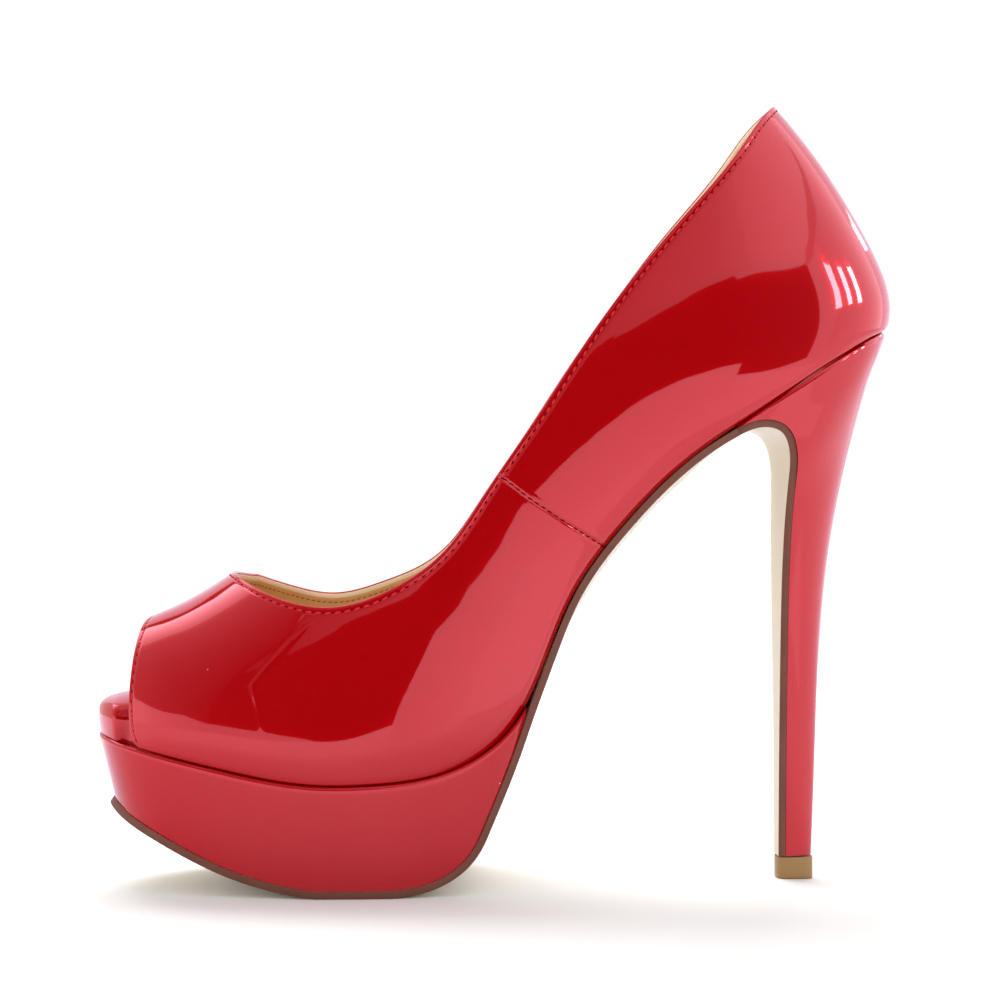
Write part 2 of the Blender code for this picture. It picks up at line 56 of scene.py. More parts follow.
# The last, a row for each section from the toe tip to the back of the seat. x and z place the feather edge,
# where the upper meets the sole. lean tips the section towards the toe, in degrees. centre, medial and
# lateral are the section's middle and half-widths at the feather edge. flare is how much wider the section
# swells, and swell the height over which it does so. ridge and the two collars are heights above the
# feather edge: a collar that is higher than the ridge leaves the section closed over the toes.
LAST_COLUMNS = ("x", "z", "lean", "centre", "medial", "lateral", "flare", "swell", "ridge",
                "collar_medial", "collar_lateral")
LAST = {
    "tip": (-108.6, 41.8, 0.0, -3.8, 0.0, 0.0, 0.05, 18.0, 24.0, 72.0, 72.0),
    "toe_round": (-107.0, 41.4, 0.0, -3.7, 10.0, 10.0, 0.05, 18.0, 26.0, 71.0, 71.0),
    "toe": (-102.8, 40.3, 0.0, -3.5, 18.6, 18.8, 0.05, 18.0, 29.0, 68.5, 68.5),
    "peep": (-96.4, 38.7, -1.0, -3.1, 25.0, 25.8, 0.05, 18.0, 33.7, 64.5, 64.5),
    "toe_box": (-85.6, 36.2, 0.0, -2.3, 30.8, 31.8, 0.05, 18.0, 40.8, 58.5, 58.5),
    "throat": (-72.7, 33.4, 2.0, -1.6, 35.2, 36.4, 0.045, 18.0, 50.3, 53.6, 54.4),
    "vamp": (-59.7, 30.9, 5.0, -1.1, 38.2, 39.4, 0.04, 18.0, 60.0, 50.2, 52.4),
    "joint": (-47.2, 29.7, 8.5, -0.8, 39.8, 40.8, 0.04, 18.0, 69.0, 48.4, 50.6),
    "tread": (-34.4, 29.9, 13.0, -0.5, 39.9, 40.7, 0.05, 20.0, 77.0, 48.0, 49.6),
    "ball": (-15.7, 32.7, 20.0, -0.5, 37.9, 39.7, 0.1, 36.0, 84.0, 50.1, 51.2),
    "ball_back": (2.1, 43.5, 29.0, -0.6, 33.0, 36.4, 0.19, 50.0, 86.0, 48.6, 48.1),
    "bend": (12.1, 61.0, 36.0, -0.8, 29.0, 32.8, 0.24, 50.0, 82.0, 41.6, 39.9),
    "waist_front": (20.4, 80.3, 40.0, -1.1, 26.2, 30.0, 0.25, 45.0, 73.0, 36.6, 34.7),
    "waist": (33.1, 97.7, 42.0, -1.5, 25.0, 28.2, 0.22, 38.0, 71.0, 36.9, 35.2),
    "waist_back": (48.6, 113.5, 42.0, -1.7, 25.2, 27.4, 0.18, 32.0, 71.0, 41.4, 39.8),
    "shank": (65.6, 126.2, 39.0, HEEL_CENTRE, 25.9, 27.0, 0.15, 29.0, 74.0, 48.5, 47.3),
    "seat": (82.0, 137.1, 34.5, HEEL_CENTRE, 24.8, 25.5, 0.115, 21.0, 83.0, 55.3, 55.2),
    "seat_back": (95.0, 145.0, 30.5, HEEL_CENTRE, 20.0, 20.4, 0.12, 18.0, 94.0, 61.8, 62.0),
    "counter": (104.6, 150.0, 28.0, HEEL_CENTRE, 12.4, 12.5, 0.12, 18.0, 98.0, 68.0, 68.3),
    "back": (108.8, 152.0, 27.0, HEEL_CENTRE, 0.0, 0.0, 0.12, 18.0, 98.0, 69.9, 69.9),
}
FULLNESS = 2.3
BACK_HEIGHT = 69.9
BACK_BULGE = 6.7
BACK_REACH = 45.0
BACK_TUCK_POWER = 10
BACK_TOP_POWER = 3
PEEP_BOW = 2.8
THROAT_EVEN = 7.0

# The outer face of the outsole, a row for each step from the toe tip to the end of the platform's wedge,
# and from the lip of the heel down its front to the top piece. Between them it follows the feather edge.
SOLE_COLUMNS = ("x", "z", "centre", "medial", "lateral")
TREAD = {
    "tip": (-105.8, 22.5, -3.8, 0.0, 0.0),
    "toe_round": (-104.5, 21.6, -3.7, 8.4, 8.4),
    "toe": (-101.0, 19.4, -3.5, 16.6, 16.8),
    "toe_spring": (-94.0, 15.6, -3.0, 24.2, 24.9),
    "toe_box": (-84.0, 10.5, -2.2, 29.6, 30.6),
    "rocker": (-73.0, 5.7, -1.6, 33.6, 34.8),
    "vamp": (-61.0, 2.1, -1.1, 36.5, 37.7),
    "flat_front": (-49.0, 0.0, -0.8, 38.1, 39.1),
    "flat_back": (-29.0, 0.0, -0.5, 38.2, 39.5),
    "roll": (-19.0, 1.7, -0.5, 37.0, 38.9),
    "turn": (-11.4, 5.4, -0.5, 35.7, 38.0),
    "turn_up": (-6.3, 10.4, -0.5, 34.6, 37.2),
    "slope_low": (-2.5, 17.8, -0.5, 33.7, 36.5),
    "slope": (2.0, 28.4, -0.6, 32.6, 35.6),
    "slope_high": (5.9, 38.4, -0.7, 31.4, 34.8),
    "wedge_end": (8.6, 46.0, -0.7, 30.5, 34.1),
}
WAIST_ROWS = ("bend", "waist_front", "waist", "waist_back")
WAIST_TUCK = 0.5
SOLE_CAMBER = 2.4
INSOLE_CAMBER = 1.9
BREAST = {
    "lip": (64.6, 122.2, HEEL_CENTRE, 25.4, 26.5),
    "arch_top": (71.0, 124.4, HEEL_CENTRE, 25.0, 25.8),
    "arch_turn": (76.2, 123.1, HEEL_CENTRE, 24.2, 24.6),
    "breast_top": (78.6, 118.3, HEEL_CENTRE, 22.0, 22.2),
    "breast_flare": (78.9, 109.8, HEEL_CENTRE, 18.0, 18.0),
    "breast_high": (78.4, 98.8, HEEL_CENTRE, 14.2, 14.2),
    "breast": (78.1, 85.8, HEEL_CENTRE, 11.1, 11.1),
    "stem_high": (78.0, 67.5, HEEL_CENTRE, 8.5, 8.5),
    "stem": (78.0, 45.0, HEEL_CENTRE, 6.4, 6.4),
    "stem_low": (78.0, 24.0, HEEL_CENTRE, 5.2, 5.2),
    "stem_end": (78.0, 6.3, HEEL_CENTRE, 4.5, 4.5),
}
SOLE_EDGE_ROUND = 0.3
SOLE_EDGE_SHARE = 0.4
SOLE_EDGE_DROP = 0.05
SOLE_FULL = SOLE_THICK + 0.26

# The back line of the heel, a row opposite each row of its front
HEEL_COLUMNS = ("x", "z")
HEEL_BACK = {
    "lip": (108.4, 151.0),
    "arch_top": (106.7, 146.0),
    "arch_turn": (104.5, 140.6),
    "breast_top": (102.2, 133.4),
    "breast_flare": (99.1, 122.0),
    "breast_high": (95.7, 107.8),
    "breast": (92.4, 89.6),
    "stem_high": (90.2, 68.0),
    "stem": (89.1, 45.0),
    "stem_low": (88.4, 24.0),
    "stem_end": (87.7, 6.3),
}
HEEL_ROUND = 2.2
HEEL_ROLL = 1.6
HEEL_SLIM = 0.5
SEAT_FADE = 33.0
HEEL_DRAW = 3.0
DRAW_OVER = 8.0
DRAW_FADE = 70.0

# Platform
PLATFORM_PROUD = 0.3
PLATFORM_BELOW = 0.08
PLATFORM_FLAT = 0.5
PLATFORM_LEAST = 0.1
PLATFORM_ROUND = 0.9
PLATFORM_ROUND_FADE = 5.0
PLATFORM_TUCK = 0.4

# Insole, a row for each section from the bare toe to the back
INSOLE_COLUMNS = ("x", "z", "thick", "dome", "round")
INSOLE = {
    "tip": (-108.6, 0.0, 8.2, 1.0, 3.2),
    "toe_round": (-103.4, 0.0, 9.2, 2.6, 3.6),
    "peep": (-98.0, 0.0, 10.2, 4.4, 3.6),
    "toe_box": (-84.0, 0.0, 7.2, 1.2, 2.0),
    "tread": (-50.0, 0.0, 4.2, 0.0, 1.2),
    "waist": (20.0, 0.0, 3.2, 0.0, 1.0),
    "back": (108.8, 0.0, 3.0, -0.8, 1.0),
}
INSOLE_PROUD = 0.7
INSOLE_FORWARD = 0.4
INSOLE_TUCK = 1.6
INSOLE_TUCK_FROM = 6.4
INSOLE_EDGE_SHARE = 0.45
INSOLE_BACK_FADE = 25.0
INSOLE_BARE_X = (-102.8, -99.8)
SOCK_FRONT_X = -86.0
SOCK_BACK = 7.0
SOCK_GAP = 0.05
SOCK_THICK = 0.5
SOCK_WIDTH = 0.97

# Top piece
TOP_PIECE_X = (77.7, 87.9)
TOP_PIECE_HALF = 4.9
TOP_PIECE_HIGH = 6.0
TOP_PIECE_EDGE = 0.5
TOP_PIECE_SQUARE = 3.5

# The closing seam on the inner quarter, x and z from the collar to the feather edge
SEAM = ((-4.0, 114.4), (0.0, 111.2), (8.0, 105.0), (16.0, 99.7), (24.1, 94.6), (33.0, 89.2))
SEAM_PITCH = 2.0
SEAM_X = (19.0, 33.0)
SEAM_STEP = 0.3
SEAM_NEAR = 2.0
SEAM_LIFT = 0.08

# The roll of the upper under its feather edge: at each x, how high it begins, how far it turns in, and how
# far the leather runs on below the edge
ROLL_COLUMNS = ("x", "high", "turn", "below")
ROLL = dict(zip(ROLL_COLUMNS, zip(
    (-108.0, 2.2, 0.4, 0.0),
    (-20.0, 2.4, 0.5, 0.0),
    (3.0, 5.0, 2.0, 1.1),
    (45.0, 5.4, 2.2, 1.2),
    (70.0, 3.4, 1.0, 0.6),
    (90.0, 2.2, 0.4, 0.0),
    (110.0, 2.2, 0.4, 0.0),
)))

# What lifts or sinks the leather, each a height and a width. Less than 0 is a trough.
COLLAR_BEAD = (0.05, 0.6)
COLLAR_BEAD_AT = 0.9
STITCH_TROUGH = (-0.16, 0.5)
SEAM_LIPS = (0.04, 0.5)
SEAM_LIPS_AT = 1.0
SEAM_TROUGH = (-0.25, 0.35)

# Unevenness of the leather: height, wavelength and seed, and how near an edge it dies away
RIPPLES = ((0.03, 26.0, 3), (0.004, 9.0, 4))
RIPPLE_WAVES = 9
RIPPLE_FADE = 6.0

# Creases on the inner side: width, height, then x and z along it. Each fades over a quarter at its ends.
CREASE_FADE = 4.0
CREASES = (
    (0.9, -0.05, ((-97.0, 68.9), (-87.3, 73.5), (-80.6, 77.0), (-69.4, 82.7))),
    (0.6, 0.2, ((-48.0, 75.0), (-56.2, 66.7), (-62.0, 60.5), (-65.6, 56.0), (-64.2, 51.1), (-62.8, 44.0))),
    (0.9, -0.3, ((94.5, 145.7), (99.5, 148.2), (105.5, 150.2))),
)

# Stitches: how far from the edge, pitch and size of each. A stitch is a grain of a few rings. Between
# stitches, a flat dark grain at each hole is painted shade of the stitch hole.
STITCH_TURNS = np.linspace(0.06 * math.pi, 0.94 * math.pi, 7)
STITCH_SIDES = 8
STITCH_AHEAD = 0.4
COLLAR_STITCH = 1.7
PEEP_STITCH = 1.4
LINING_STITCH = 2.4
TAPE = 1.8
TAPE_TURNS = np.radians((150.0, 165.0, 180.0))
TAPE_STAND = np.array((0.02, 0.12, 0.3))
PITCH = 2.6
THREAD = (0.78, 0.28, 0.2)
HOLE_SHADE = (0.42, 0.26, 0.07)
LINING_PITCH = 1.7
LINING_THREAD = (0.55, 0.2, 0.12)
SEAM_THREAD = (0.75, 0.2, 0.1)
SLANT = 0.16

# Studio. Each card: azimuths along it, from the camera's side towards the heel, the heights of its lower
# and of its upper edge there, all in degrees, its distance in metres, and its brightness there
SKY = 0.9
OVERHEAD = 30.0
OVERHEAD_SIZE = (1.4, 1.2)
OVERHEAD_AT = (-0.12, 1.0, 1.4)
DAYLIGHT = (0.93, 0.98, 1.16)
CARD_CENTRE = np.array((0.0, 0.0, 0.1))
CARD_GRID = (49, 9)
CARDS = {
    "dark flag": ((-36, -23, -8, 10, 14.5, 15.2, 44, 45.5),
                  (2, 0, -5, -9, -9, -9, -9, -9),
                  (34, 34, 34, 34, 34, 24.8, 28, 28), 1.6,
                  (0.06, 0.03, 0.02, 0.02, 0.03, 0.03, 0.10, 0.12)),
    "near white card": ((-1.7, -1.3, 4.2, 7, 27.5), -21.5, (-9.6, -6.4, 4.9, 10.2, 9.6), 0.27,
                        (1.5, 1.5, 1.5, 1.5, 1.8)),
    "near right card": ((20.5, 24, 30, 40, 55, 62), -17.4, (3.2, 2.8, 1.4, -0.9, -1.7, -2),
                        0.33, (1.8, 1.8, 1.9, 2, 2, 2)),
    "low left card": ((-98, -71, -43, -36, -23, -8), -6, (11, 11, 7, 2, 0, -5),
                      1.7, (2, 2, 1.4, 1.3, 1.3, 1.3)),
    "left grey card": ((-98, -71, -43, -36), (11, 11, 7, 2), 62, 1.6,
                       (0.75, 0.5, 0.2, 0.1)),
    "high grey card": ((-36, -15, -6.5, 3.2, 11.5, 15, 25),
                       (22, 23, 23.8, 25.3, 26.6, 27, 28), 70, 0.7,
                       (0.2, 0.45, 0.65, 0.8, 0.9, 1, 1.25)),
    "high white card": ((15, 44, 50, 59, 75, 90, 100),
                        (24.8, 28, 30, 34, 38, 41, 45), 70, 1.6,
                        (1.2, 1.9, 2, 2.1, 2.2, 2.2, 2.2)),
    "grey strip": ((46, 49, 59, 75, 90, 96), (28, 29, 33, 37, 40.3, 42),
                   (29.4, 30.6, 35, 39, 42.3, 44), 1.55, (1.1, 1.1, 1.1, 1.2, 1.4, 1.6)),
    "low window": ((45.5, 55), -9, 32, 1.7, (1.6, 1.7)),
    "window": ((55, 75, 118), -9, 60, 1.8, (1.5, 1.9, 3)),
    "first pane": ((54, 58), 19, 29, 1.5, 14),
    "second pane": ((63, 67), 19, 29, 1.5, 18),
    "third pane": ((73, 78), 18, 29, 1.5, 22),
    "back white card": ((118, 178), -4, 60, 1.8, (2, 1.2)),
    "back pane": ((120, 134), (25.6, 21.5), (28, 25), 1.5, 7),
    "left dark bar": ((-147.5, -143), 22, 55, 1.6, 0.1),
    "far left card": ((-142, -104), 30, 62, 1.8, (4, 1.6)),
    "far back card": ((-178, -150), 5, 60, 1.8, 1.1),
}
BACKDROP = 1.1
BACKDROP_X = (-3.0, 3.0)
BACKDROP_Y = 2.5
BACKDROP_Z = (-1.0, 3.0)
FLOOR_X = (-2.4, 2.4)
FLOOR_Y = (1.0, -1.0)
FLOOR_WHITE = (0.9, 0.9, 0.9)

# The floor as the gloss sees it, a painted reflection: brightness at distances from the shoe's footprint,
# in metres, dimmer near it as painted shadow of the shoe
SHINE_X = np.linspace(-1.2, 1.6, 113)
SHINE_Y = np.linspace(0.98, -0.98, 81)
FOOTPRINT_X = (-0.106, 0.0)
FOOTPRINT_HALF = 0.035
FLOOR_GLOW = ((0.01, 0.045, 0.1, 0.2, 0.6), (0.5, 0.9, 1.15, 1.6, 1.7))

# The photograph's camera, in metres
LENS = 96.0
SENSOR = 36.0
CAMERA_AT = (-0.0311, -0.7393, 0.1048)
CAMERA_AIM = (0.0012, 0.0, 0.1048)

# Finishes: patches of colour and grain, then how much of the patent gloss is red, its coat, and dust
PATCH_DETAIL = 3.0
GRAIN_DETAIL = 4.0
GRAIN_DEEP = 0.1
RED_GLOSS = 0.25
RED_TINT = (1.0, 0.05, 0.08, 1.0)
COAT_ROUGHNESS = 0.03
DUST_APART = 13.0
DUST_SIZE = 0.22
DUST_COLOUR = (0.75, 0.42, 0.42, 1.0)

# Faces
REAR_RIBS = {-1: 150, 1: 110}
FEATHER_RIBS = {-1: 170, 1: 60}
PEEP_RIBS = 46
COLLAR_ROWS = np.linspace(LEATHER_EDGE, 6.0, 17)
MIDDLE_ROWS = np.linspace(0.0, 1.0, 84)[1:-1]
FEATHER_ROWS = np.linspace(4.0, LEATHER_EDGE, 11)
RIB_STEPS = np.linspace(0.0, 1.0, 161)
EDGE_TURNS = np.radians((30.0, 60.0, 90.0, 120.0, 150.0, 180.0))
COLLAR_INSIDE = 14
HEM_INSIDE = 10
# Rows of the turned-under lower edge that take the dark red painted shade of the crevice under the feather
# edge
PAINTED_SHADE_ROWS = 14
LINING_ROWS = (3, 12, 3)
SOLE_STEPS = (("tip", "flat_front", 90), ("flat_front", "flat_back", 12), ("flat_back", "slope_low", 40),
              ("slope_low", "wedge_end", 24), ("wedge_end", "lip", 90), ("lip", "breast_flare", 110),
              ("breast_flare", "stem_end", 60))
SOLE_ACROSS = np.linspace(-1.0, 1.0, 25)
PLATFORM_SIDE = np.linspace(0.0, 1.0, 20)[1:-1]
PLATFORM_MIDDLE = 7
INSOLE_MIDDLE = np.linspace(-0.8, 0.8, 13)
INSOLE_STEPS = 260
ROUND_TURNS = np.radians(np.linspace(0.0, 90.0, 8))
HEEL_SIDES = 44
TOP_PIECE_SIDES = 72
TIP_HALF = 0.25
FINE = 4001
SLOPE_STEP = 0.05
SHARP = math.radians(50.0)


def spline(knots, values, at):
    """A cubic curve through the values at the knots, with no bend at its ends."""
    gaps = np.diff(knots)
    slopes = np.diff(values) / gaps
    count = len(knots)
    matrix = np.eye(count)
    right = np.zeros(count)
    for row in range(1, count - 1):
        matrix[row, row - 1:row + 2] = gaps[row - 1], 2.0 * (gaps[row - 1] + gaps[row]), gaps[row]
        right[row] = 6.0 * (slopes[row] - slopes[row - 1])
    bend = np.linalg.solve(matrix, right)
    low = np.clip(np.searchsorted(knots, at) - 1, 0, count - 2)
    gap = gaps[low]
    ahead = knots[low + 1] - at
    behind = at - knots[low]
    curve = (bend[low] * ahead ** 3 + bend[low + 1] * behind ** 3) / (6.0 * gap)
    curve = curve + (values[low] / gap - bend[low] * gap / 6.0) * ahead
    return curve + (values[low + 1] / gap - bend[low + 1] * gap / 6.0) * behind


class Sections:
    """A table of sections, read smoothly at any distance along its line of x and z."""

    def __init__(self, columns, rows):
        self.names = list(rows)
        self.columns = {name: np.array(column, float) for name, column in zip(columns, zip(*rows.values()))}
        steps = np.hypot(np.diff(self.columns["x"]), np.diff(self.columns["z"]))
        self.knots = np.concatenate(([0.0], np.cumsum(steps)))

    def station(self, name):
        """The distance along the line of a named row."""
        return self.knots[self.names.index(name)]

    def reach(self, x):
        """The distance along the line at which it reaches x."""
        along = np.linspace(0.0, self.knots[-1], FINE)
        return np.interp(x, self.at("x", along), along)

    def at(self, column, along):
        """A column's value at a distance along the line."""
        return spline(self.knots, self.columns[column], np.asarray(along, float))

    def half(self, side, along):
        """A side's half-width, read through its square so that an outline closes in a round end."""
        square = spline(self.knots, self.columns[side_name(side)] ** 2, np.asarray(along, float))
        return np.sqrt(np.maximum(square, 0.0))

    def first(self):
        """The distance of the first row of faces, where the round tip is already a little wide."""
        return TIP_HALF ** 2 / self.half(-1, 1.0) ** 2

    def height(self, along):
        """The line's height, which never passes below the floor."""
        return np.maximum(self.at("z", along), 0.0)

    def line(self, along, lift=0.0):
        """x and z on the line, or lifted off it towards the inside of the shoe."""
        run = self.at("x", along + SLOPE_STEP) - self.at("x", along - SLOPE_STEP)
        rise = self.height(along + SLOPE_STEP) - self.height(along - SLOPE_STEP)
        length = np.hypot(run, rise)
        return self.at("x", along) - lift * rise / length, self.height(along) + lift * run / length

    def across(self, along, sideways, lift):
        """Points beside the line's middle, at one distance along it."""
        x, z = self.line(np.full(len(sideways), along), lift)
        return np.stack((x, self.at("centre", along) + sideways, z), axis=-1)

    def camber(self, end, along):
        """How far the waist bows down, from 0 to 1, between the bend and the row that ends it."""
        rows = [self.station(name) for name in ("bend", "waist_front", "waist_back", end)]
        return np.interp(along, rows, (0.0, 1.0, 1.0, 0.0))


def side_name(side):
    """The table's column for a side of the foot: -1 is medial, 1 lateral."""
    return "medial" if side < 0 else "lateral"


def evenly(along, across, count):
    """The distances along a line that split an outline, its half-width given, into equal steps."""
    length = np.concatenate(([0.0], np.cumsum(np.hypot(np.diff(along), np.diff(across)))))
    return np.interp(np.linspace(0.0, length[-1], count + 1), length, along)


def make_sole_line():
    """The outsole's line: tread, then the waist under the feather edge, then the front of the heel."""
    rows = dict(TREAD)
    for name in WAIST_ROWS:
        along = last.station(name)
        x, z = last.line(along, -GAP - SOLE_THICK)
        medial = last.half(-1, along) - WAIST_TUCK
        lateral = last.half(1, along) - WAIST_TUCK
        rows[name] = (x, z, last.at("centre", along), medial, lateral)
    rows.update(BREAST)
    return Sections(SOLE_COLUMNS, rows)


def find_throat():
    """Where the collar line meets the ridge of the vamp."""
    along = np.linspace(last.station("toe_box"), last.station("vamp"), FINE)
    closed = last.at("collar_medial", along) >= last.at("ridge", along)
    return along[np.argmin(closed)]


last = Sections(LAST_COLUMNS, LAST)
sole = make_sole_line()
heel_back = Sections(HEEL_COLUMNS, HEEL_BACK)
board = Sections(INSOLE_COLUMNS, INSOLE)
BACK = last.station("back")
BALL = last.station("ball")
PEEP = last.station("peep")
THROAT = find_throat()
SEAT_LINE = last.line(np.linspace(last.station("waist_back"), BACK, FINE), -GAP)


class Shade:
    """A shader socket that takes part in plain arithmetic."""

    def __init__(self, tree, socket=None):
        self.tree = tree
        self.socket = socket

    def make(self, kind, settings, values, output=0):
        """A node with its settings, then its inputs as plain values or other sockets."""
        node = self.tree.nodes.new(kind)
        for name, value in settings.items():
            setattr(node, name, value)
        for name, value in values.items():
            if isinstance(value, Shade):
                self.tree.links.new(value.socket, node.inputs[name])
            else:
                node.inputs[name].default_value = value
        return Shade(self.tree, node.outputs[output])

    def maths(self, operation, *values):
        """A sum of one kind on plain values or sockets."""
        return self.make("ShaderNodeMath", {"operation": operation}, dict(enumerate(values)))

    def __add__(self, other):
        return self.maths("ADD", self, other)

    def __sub__(self, other):
        return self.maths("SUBTRACT", self, other)

    def __rsub__(self, other):
        return self.maths("SUBTRACT", other, self)

    def __mul__(self, other):
        return self.maths("MULTIPLY", self, other)

    __radd__ = __add__
    __rmul__ = __mul__

    def mix(self, low, high):
        """A colour between two, by this value."""
        settings = {"data_type": "RGBA", "clamp_factor": True}
        return self.make("ShaderNodeMix", settings, {"Factor": self, 6: low, 7: high}, 2)


def material(name, colours, roughness, grain=0.0, grain_size=0.5, patch_size=20.0, uneven=0.0, gloss=0.5,
             patent=False):
    """A finish whose colour drifts between two, with a fine grain. Patent leather has a clear coat over a
    red gloss, and a few specks of dust."""
    made = bpy.data.materials.new(name)
    made.use_nodes = True
    tree = made.node_tree
    shader = tree.nodes["Principled BSDF"]
    start = Shade(tree)
    place = start.make("ShaderNodeTexCoord", {}, {}, "Object")

    def noise(size, detail):
        values = {"Vector": place, "Scale": 1.0 / (size * MM), "Detail": detail}
        return start.make("ShaderNodeTexNoise", {}, values)

    patches = noise(patch_size, PATCH_DETAIL)
    colour = patches.mix((*colours[0], 1.0), (*colours[1], 1.0))
    if patent:
        cells = start.make("ShaderNodeTexVoronoi", {}, {"Vector": place, "Scale": 1.0 / (DUST_APART * MM)})
        dust = cells.maths("LESS_THAN", cells, DUST_SIZE / DUST_APART)
        colour = dust.mix(colour, DUST_COLOUR)
        shader.inputs["Coat Weight"].default_value = 1.0
        shader.inputs["Coat Roughness"].default_value = COAT_ROUGHNESS
        shader.inputs["Metallic"].default_value = RED_GLOSS
        shader.inputs["Specular Tint"].default_value = RED_TINT
    shader.inputs["Specular IOR Level"].default_value = gloss
    tree.links.new(colour.socket, shader.inputs["Base Color"])
    tree.links.new((patches * (2.0 * uneven) + (roughness - uneven)).socket, shader.inputs["Roughness"])
    if grain:
        bump = {"Strength": grain, "Distance": GRAIN_DEEP * MM, "Height": noise(grain_size, GRAIN_DETAIL)}
        tree.links.new(start.make("ShaderNodeBump", {}, bump).socket, shader.inputs["Normal"])
    return made


red_patent = material("red patent", ((0.505, 0.0011, 0.0036), (0.535, 0.0015, 0.0045)), 0.1, 0.12,
                      gloss=0.0, patent=True)
# A dull dark red that is painted shade: on the turned-under lower edge of the upper and in the stitch holes
red_painted_shade = material("dark red painted shade", ((0.14, 0.002, 0.005), (0.18, 0.003, 0.007)), 0.6, gloss=0.0)
red_thread = material("red thread", ((0.58, 0.010, 0.012), (0.66, 0.016, 0.018)), 0.5, 0.5, 0.15, gloss=0.2)
dark_thread = material("dark red thread", ((0.10, 0.001, 0.002), (0.14, 0.001, 0.003)), 0.6, gloss=0.0)
tan_lining = material("tan lining", ((0.66, 0.40, 0.17), (0.74, 0.47, 0.22)), 0.6, 0.4, 0.6)
cream_tape = material("cream edge tape", ((0.80, 0.62, 0.37), (0.86, 0.70, 0.46)), 0.5, 0.3)
olive_thread = material("olive thread", ((0.16, 0.10, 0.025), (0.24, 0.15, 0.04)), 0.6)
tan_sock = material("tan sock", ((0.58, 0.32, 0.12), (0.66, 0.38, 0.15)), 0.55, 0.5, 0.7)
cream_sole = material("cream sole leather", ((0.70, 0.60, 0.46), (0.76, 0.67, 0.53)), 0.5, 0.3, uneven=0.06)
brown_edge = material("brown edge paint", ((0.15, 0.050, 0.032), (0.21, 0.075, 0.048)), 0.5, 0.4,
                      patch_size=6.0, gloss=0.15)
ochre = material("ochre plastic", ((0.30, 0.155, 0.038), (0.36, 0.195, 0.048)), 0.42, 0.3, uneven=0.05)


def piece(name, points, faces, finishes, node=None, kinds=None):
    """A named mesh from points in millimetres, which rides on the shoe."""
    mesh = bpy.data.meshes.new(name)
    mesh.from_pydata((np.asarray(points).reshape(-1, 3) * MM).tolist(), [], faces)
    for finish in finishes:
        mesh.materials.append(finish)
    if kinds is not None:
        mesh.polygons.foreach_set("material_index", np.asarray(kinds, dtype=np.int32))
    mesh.shade_smooth()
    mesh.set_sharp_from_angle(angle=SHARP)
    item = bpy.data.objects.new(name, mesh)
    bpy.context.collection.objects.link(item)
    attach(item, "root")
    if node:
        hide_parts(node)
    return item


def grid_faces(rows, wide, ring):
    """Quads between neighbouring rows of points. A ring joins the last row to the first."""
    here = np.arange(rows if ring else rows - 1)[:, None] * wide
    beside = (here + wide) % (rows * wide)
    point = np.arange(wide - 1)
    quads = np.stack((here + point, beside + point, beside + point + 1, here + point + 1), axis=-1)
    return quads.reshape(-1, 4).tolist()


def grid_normals(grid, ring):
    """Which way a grid of points faces, at each point."""
    if ring:
        along = np.roll(grid, -1, axis=0) - np.roll(grid, 1, axis=0)
    else:
        along = np.gradient(grid, axis=0)
    facing = np.cross(along, np.gradient(grid, axis=1))
    return facing / np.maximum(np.linalg.norm(facing, axis=-1, keepdims=True), 1e-9)


def loft(name, loops, finishes, node, kinds=None):
    """A closed piece through loops of equal length. kinds gives the finish of each strip round a loop, and
    the two ends have the last finish."""
    count = len(loops[0])
    total = len(loops)
    here = np.arange(total - 1)[:, None] * count
    point = np.arange(count)
    beside = (point + 1) % count
    quads = np.stack((here + point, here + beside, here + count + beside, here + count + point), axis=-1)
    faces = quads.reshape(-1, 4).tolist()
    for start in (0, (total - 1) * count):
        for corner in range((count - 1) // 2):
            strip = (corner, corner + 1, count - 2 - corner, count - 1 - corner)
            faces.append([start + one for one in dict.fromkeys(strip)])
    marks = np.full(len(faces), len(finishes) - 1, dtype=np.int32)
    if kinds is not None:
        marks[:(total - 1) * count] = np.tile(kinds, total - 1)
    item = piece(name, np.concatenate(loops), faces, finishes, node, marks)
    item.data.update()
    bpy.context.view_layer.objects.active = item
    item.select_set(True)
    bpy.ops.object.mode_set(mode="EDIT")
    bpy.ops.mesh.select_all(action="SELECT")
    bpy.ops.mesh.normals_make_consistent(inside=False)
    bpy.ops.object.mode_set(mode="OBJECT")
    item.select_set(False)
    return item


def ripple(points, wavelength, seed):
    """A gentle unevenness between about -1 and 1, the same on every run."""
    random = np.random.default_rng(seed)
    total = 0.0
    for wave in range(RIPPLE_WAVES):
        heading = random.normal(size=3)
        heading *= 2.0 * math.pi / wavelength * random.uniform(0.7, 1.4) / np.linalg.norm(heading)
        total = total + np.cos(points @ heading + random.uniform(0.0, 2.0 * math.pi))
    return total / math.sqrt(RIPPLE_WAVES)


def off_path(points, path):
    """Each point's distance from a path of x and z, to which side of it, and how far along it."""
    path = np.asarray(path, float)
    nearest = np.full(points.shape[:-1], np.inf)
    side = np.zeros(points.shape[:-1])
    along = np.zeros(points.shape[:-1])
    walked = 0.0
    for start, end in zip(path[:-1], path[1:]):
        run = end - start
        length = np.hypot(*run)
        rel = points[..., (0, 2)] - start
        share = np.clip(rel @ run / length ** 2, 0.0, 1.0)
        away = rel - share[..., None] * run
        distance = np.hypot(away[..., 0], away[..., 1])
        closer = distance < nearest
        nearest = np.where(closer, distance, nearest)
        side = np.where(closer, np.sign(rel[..., 0] * run[1] - rel[..., 1] * run[0]), side)
        along = np.where(closer, walked + share * length, along)
        walked += length
    return nearest, side, along, walked


def swelling(distance, height, width):
    """A height at no distance, falling softly to 0 a few widths away."""
    return height * np.exp(-(distance / width) ** 2)


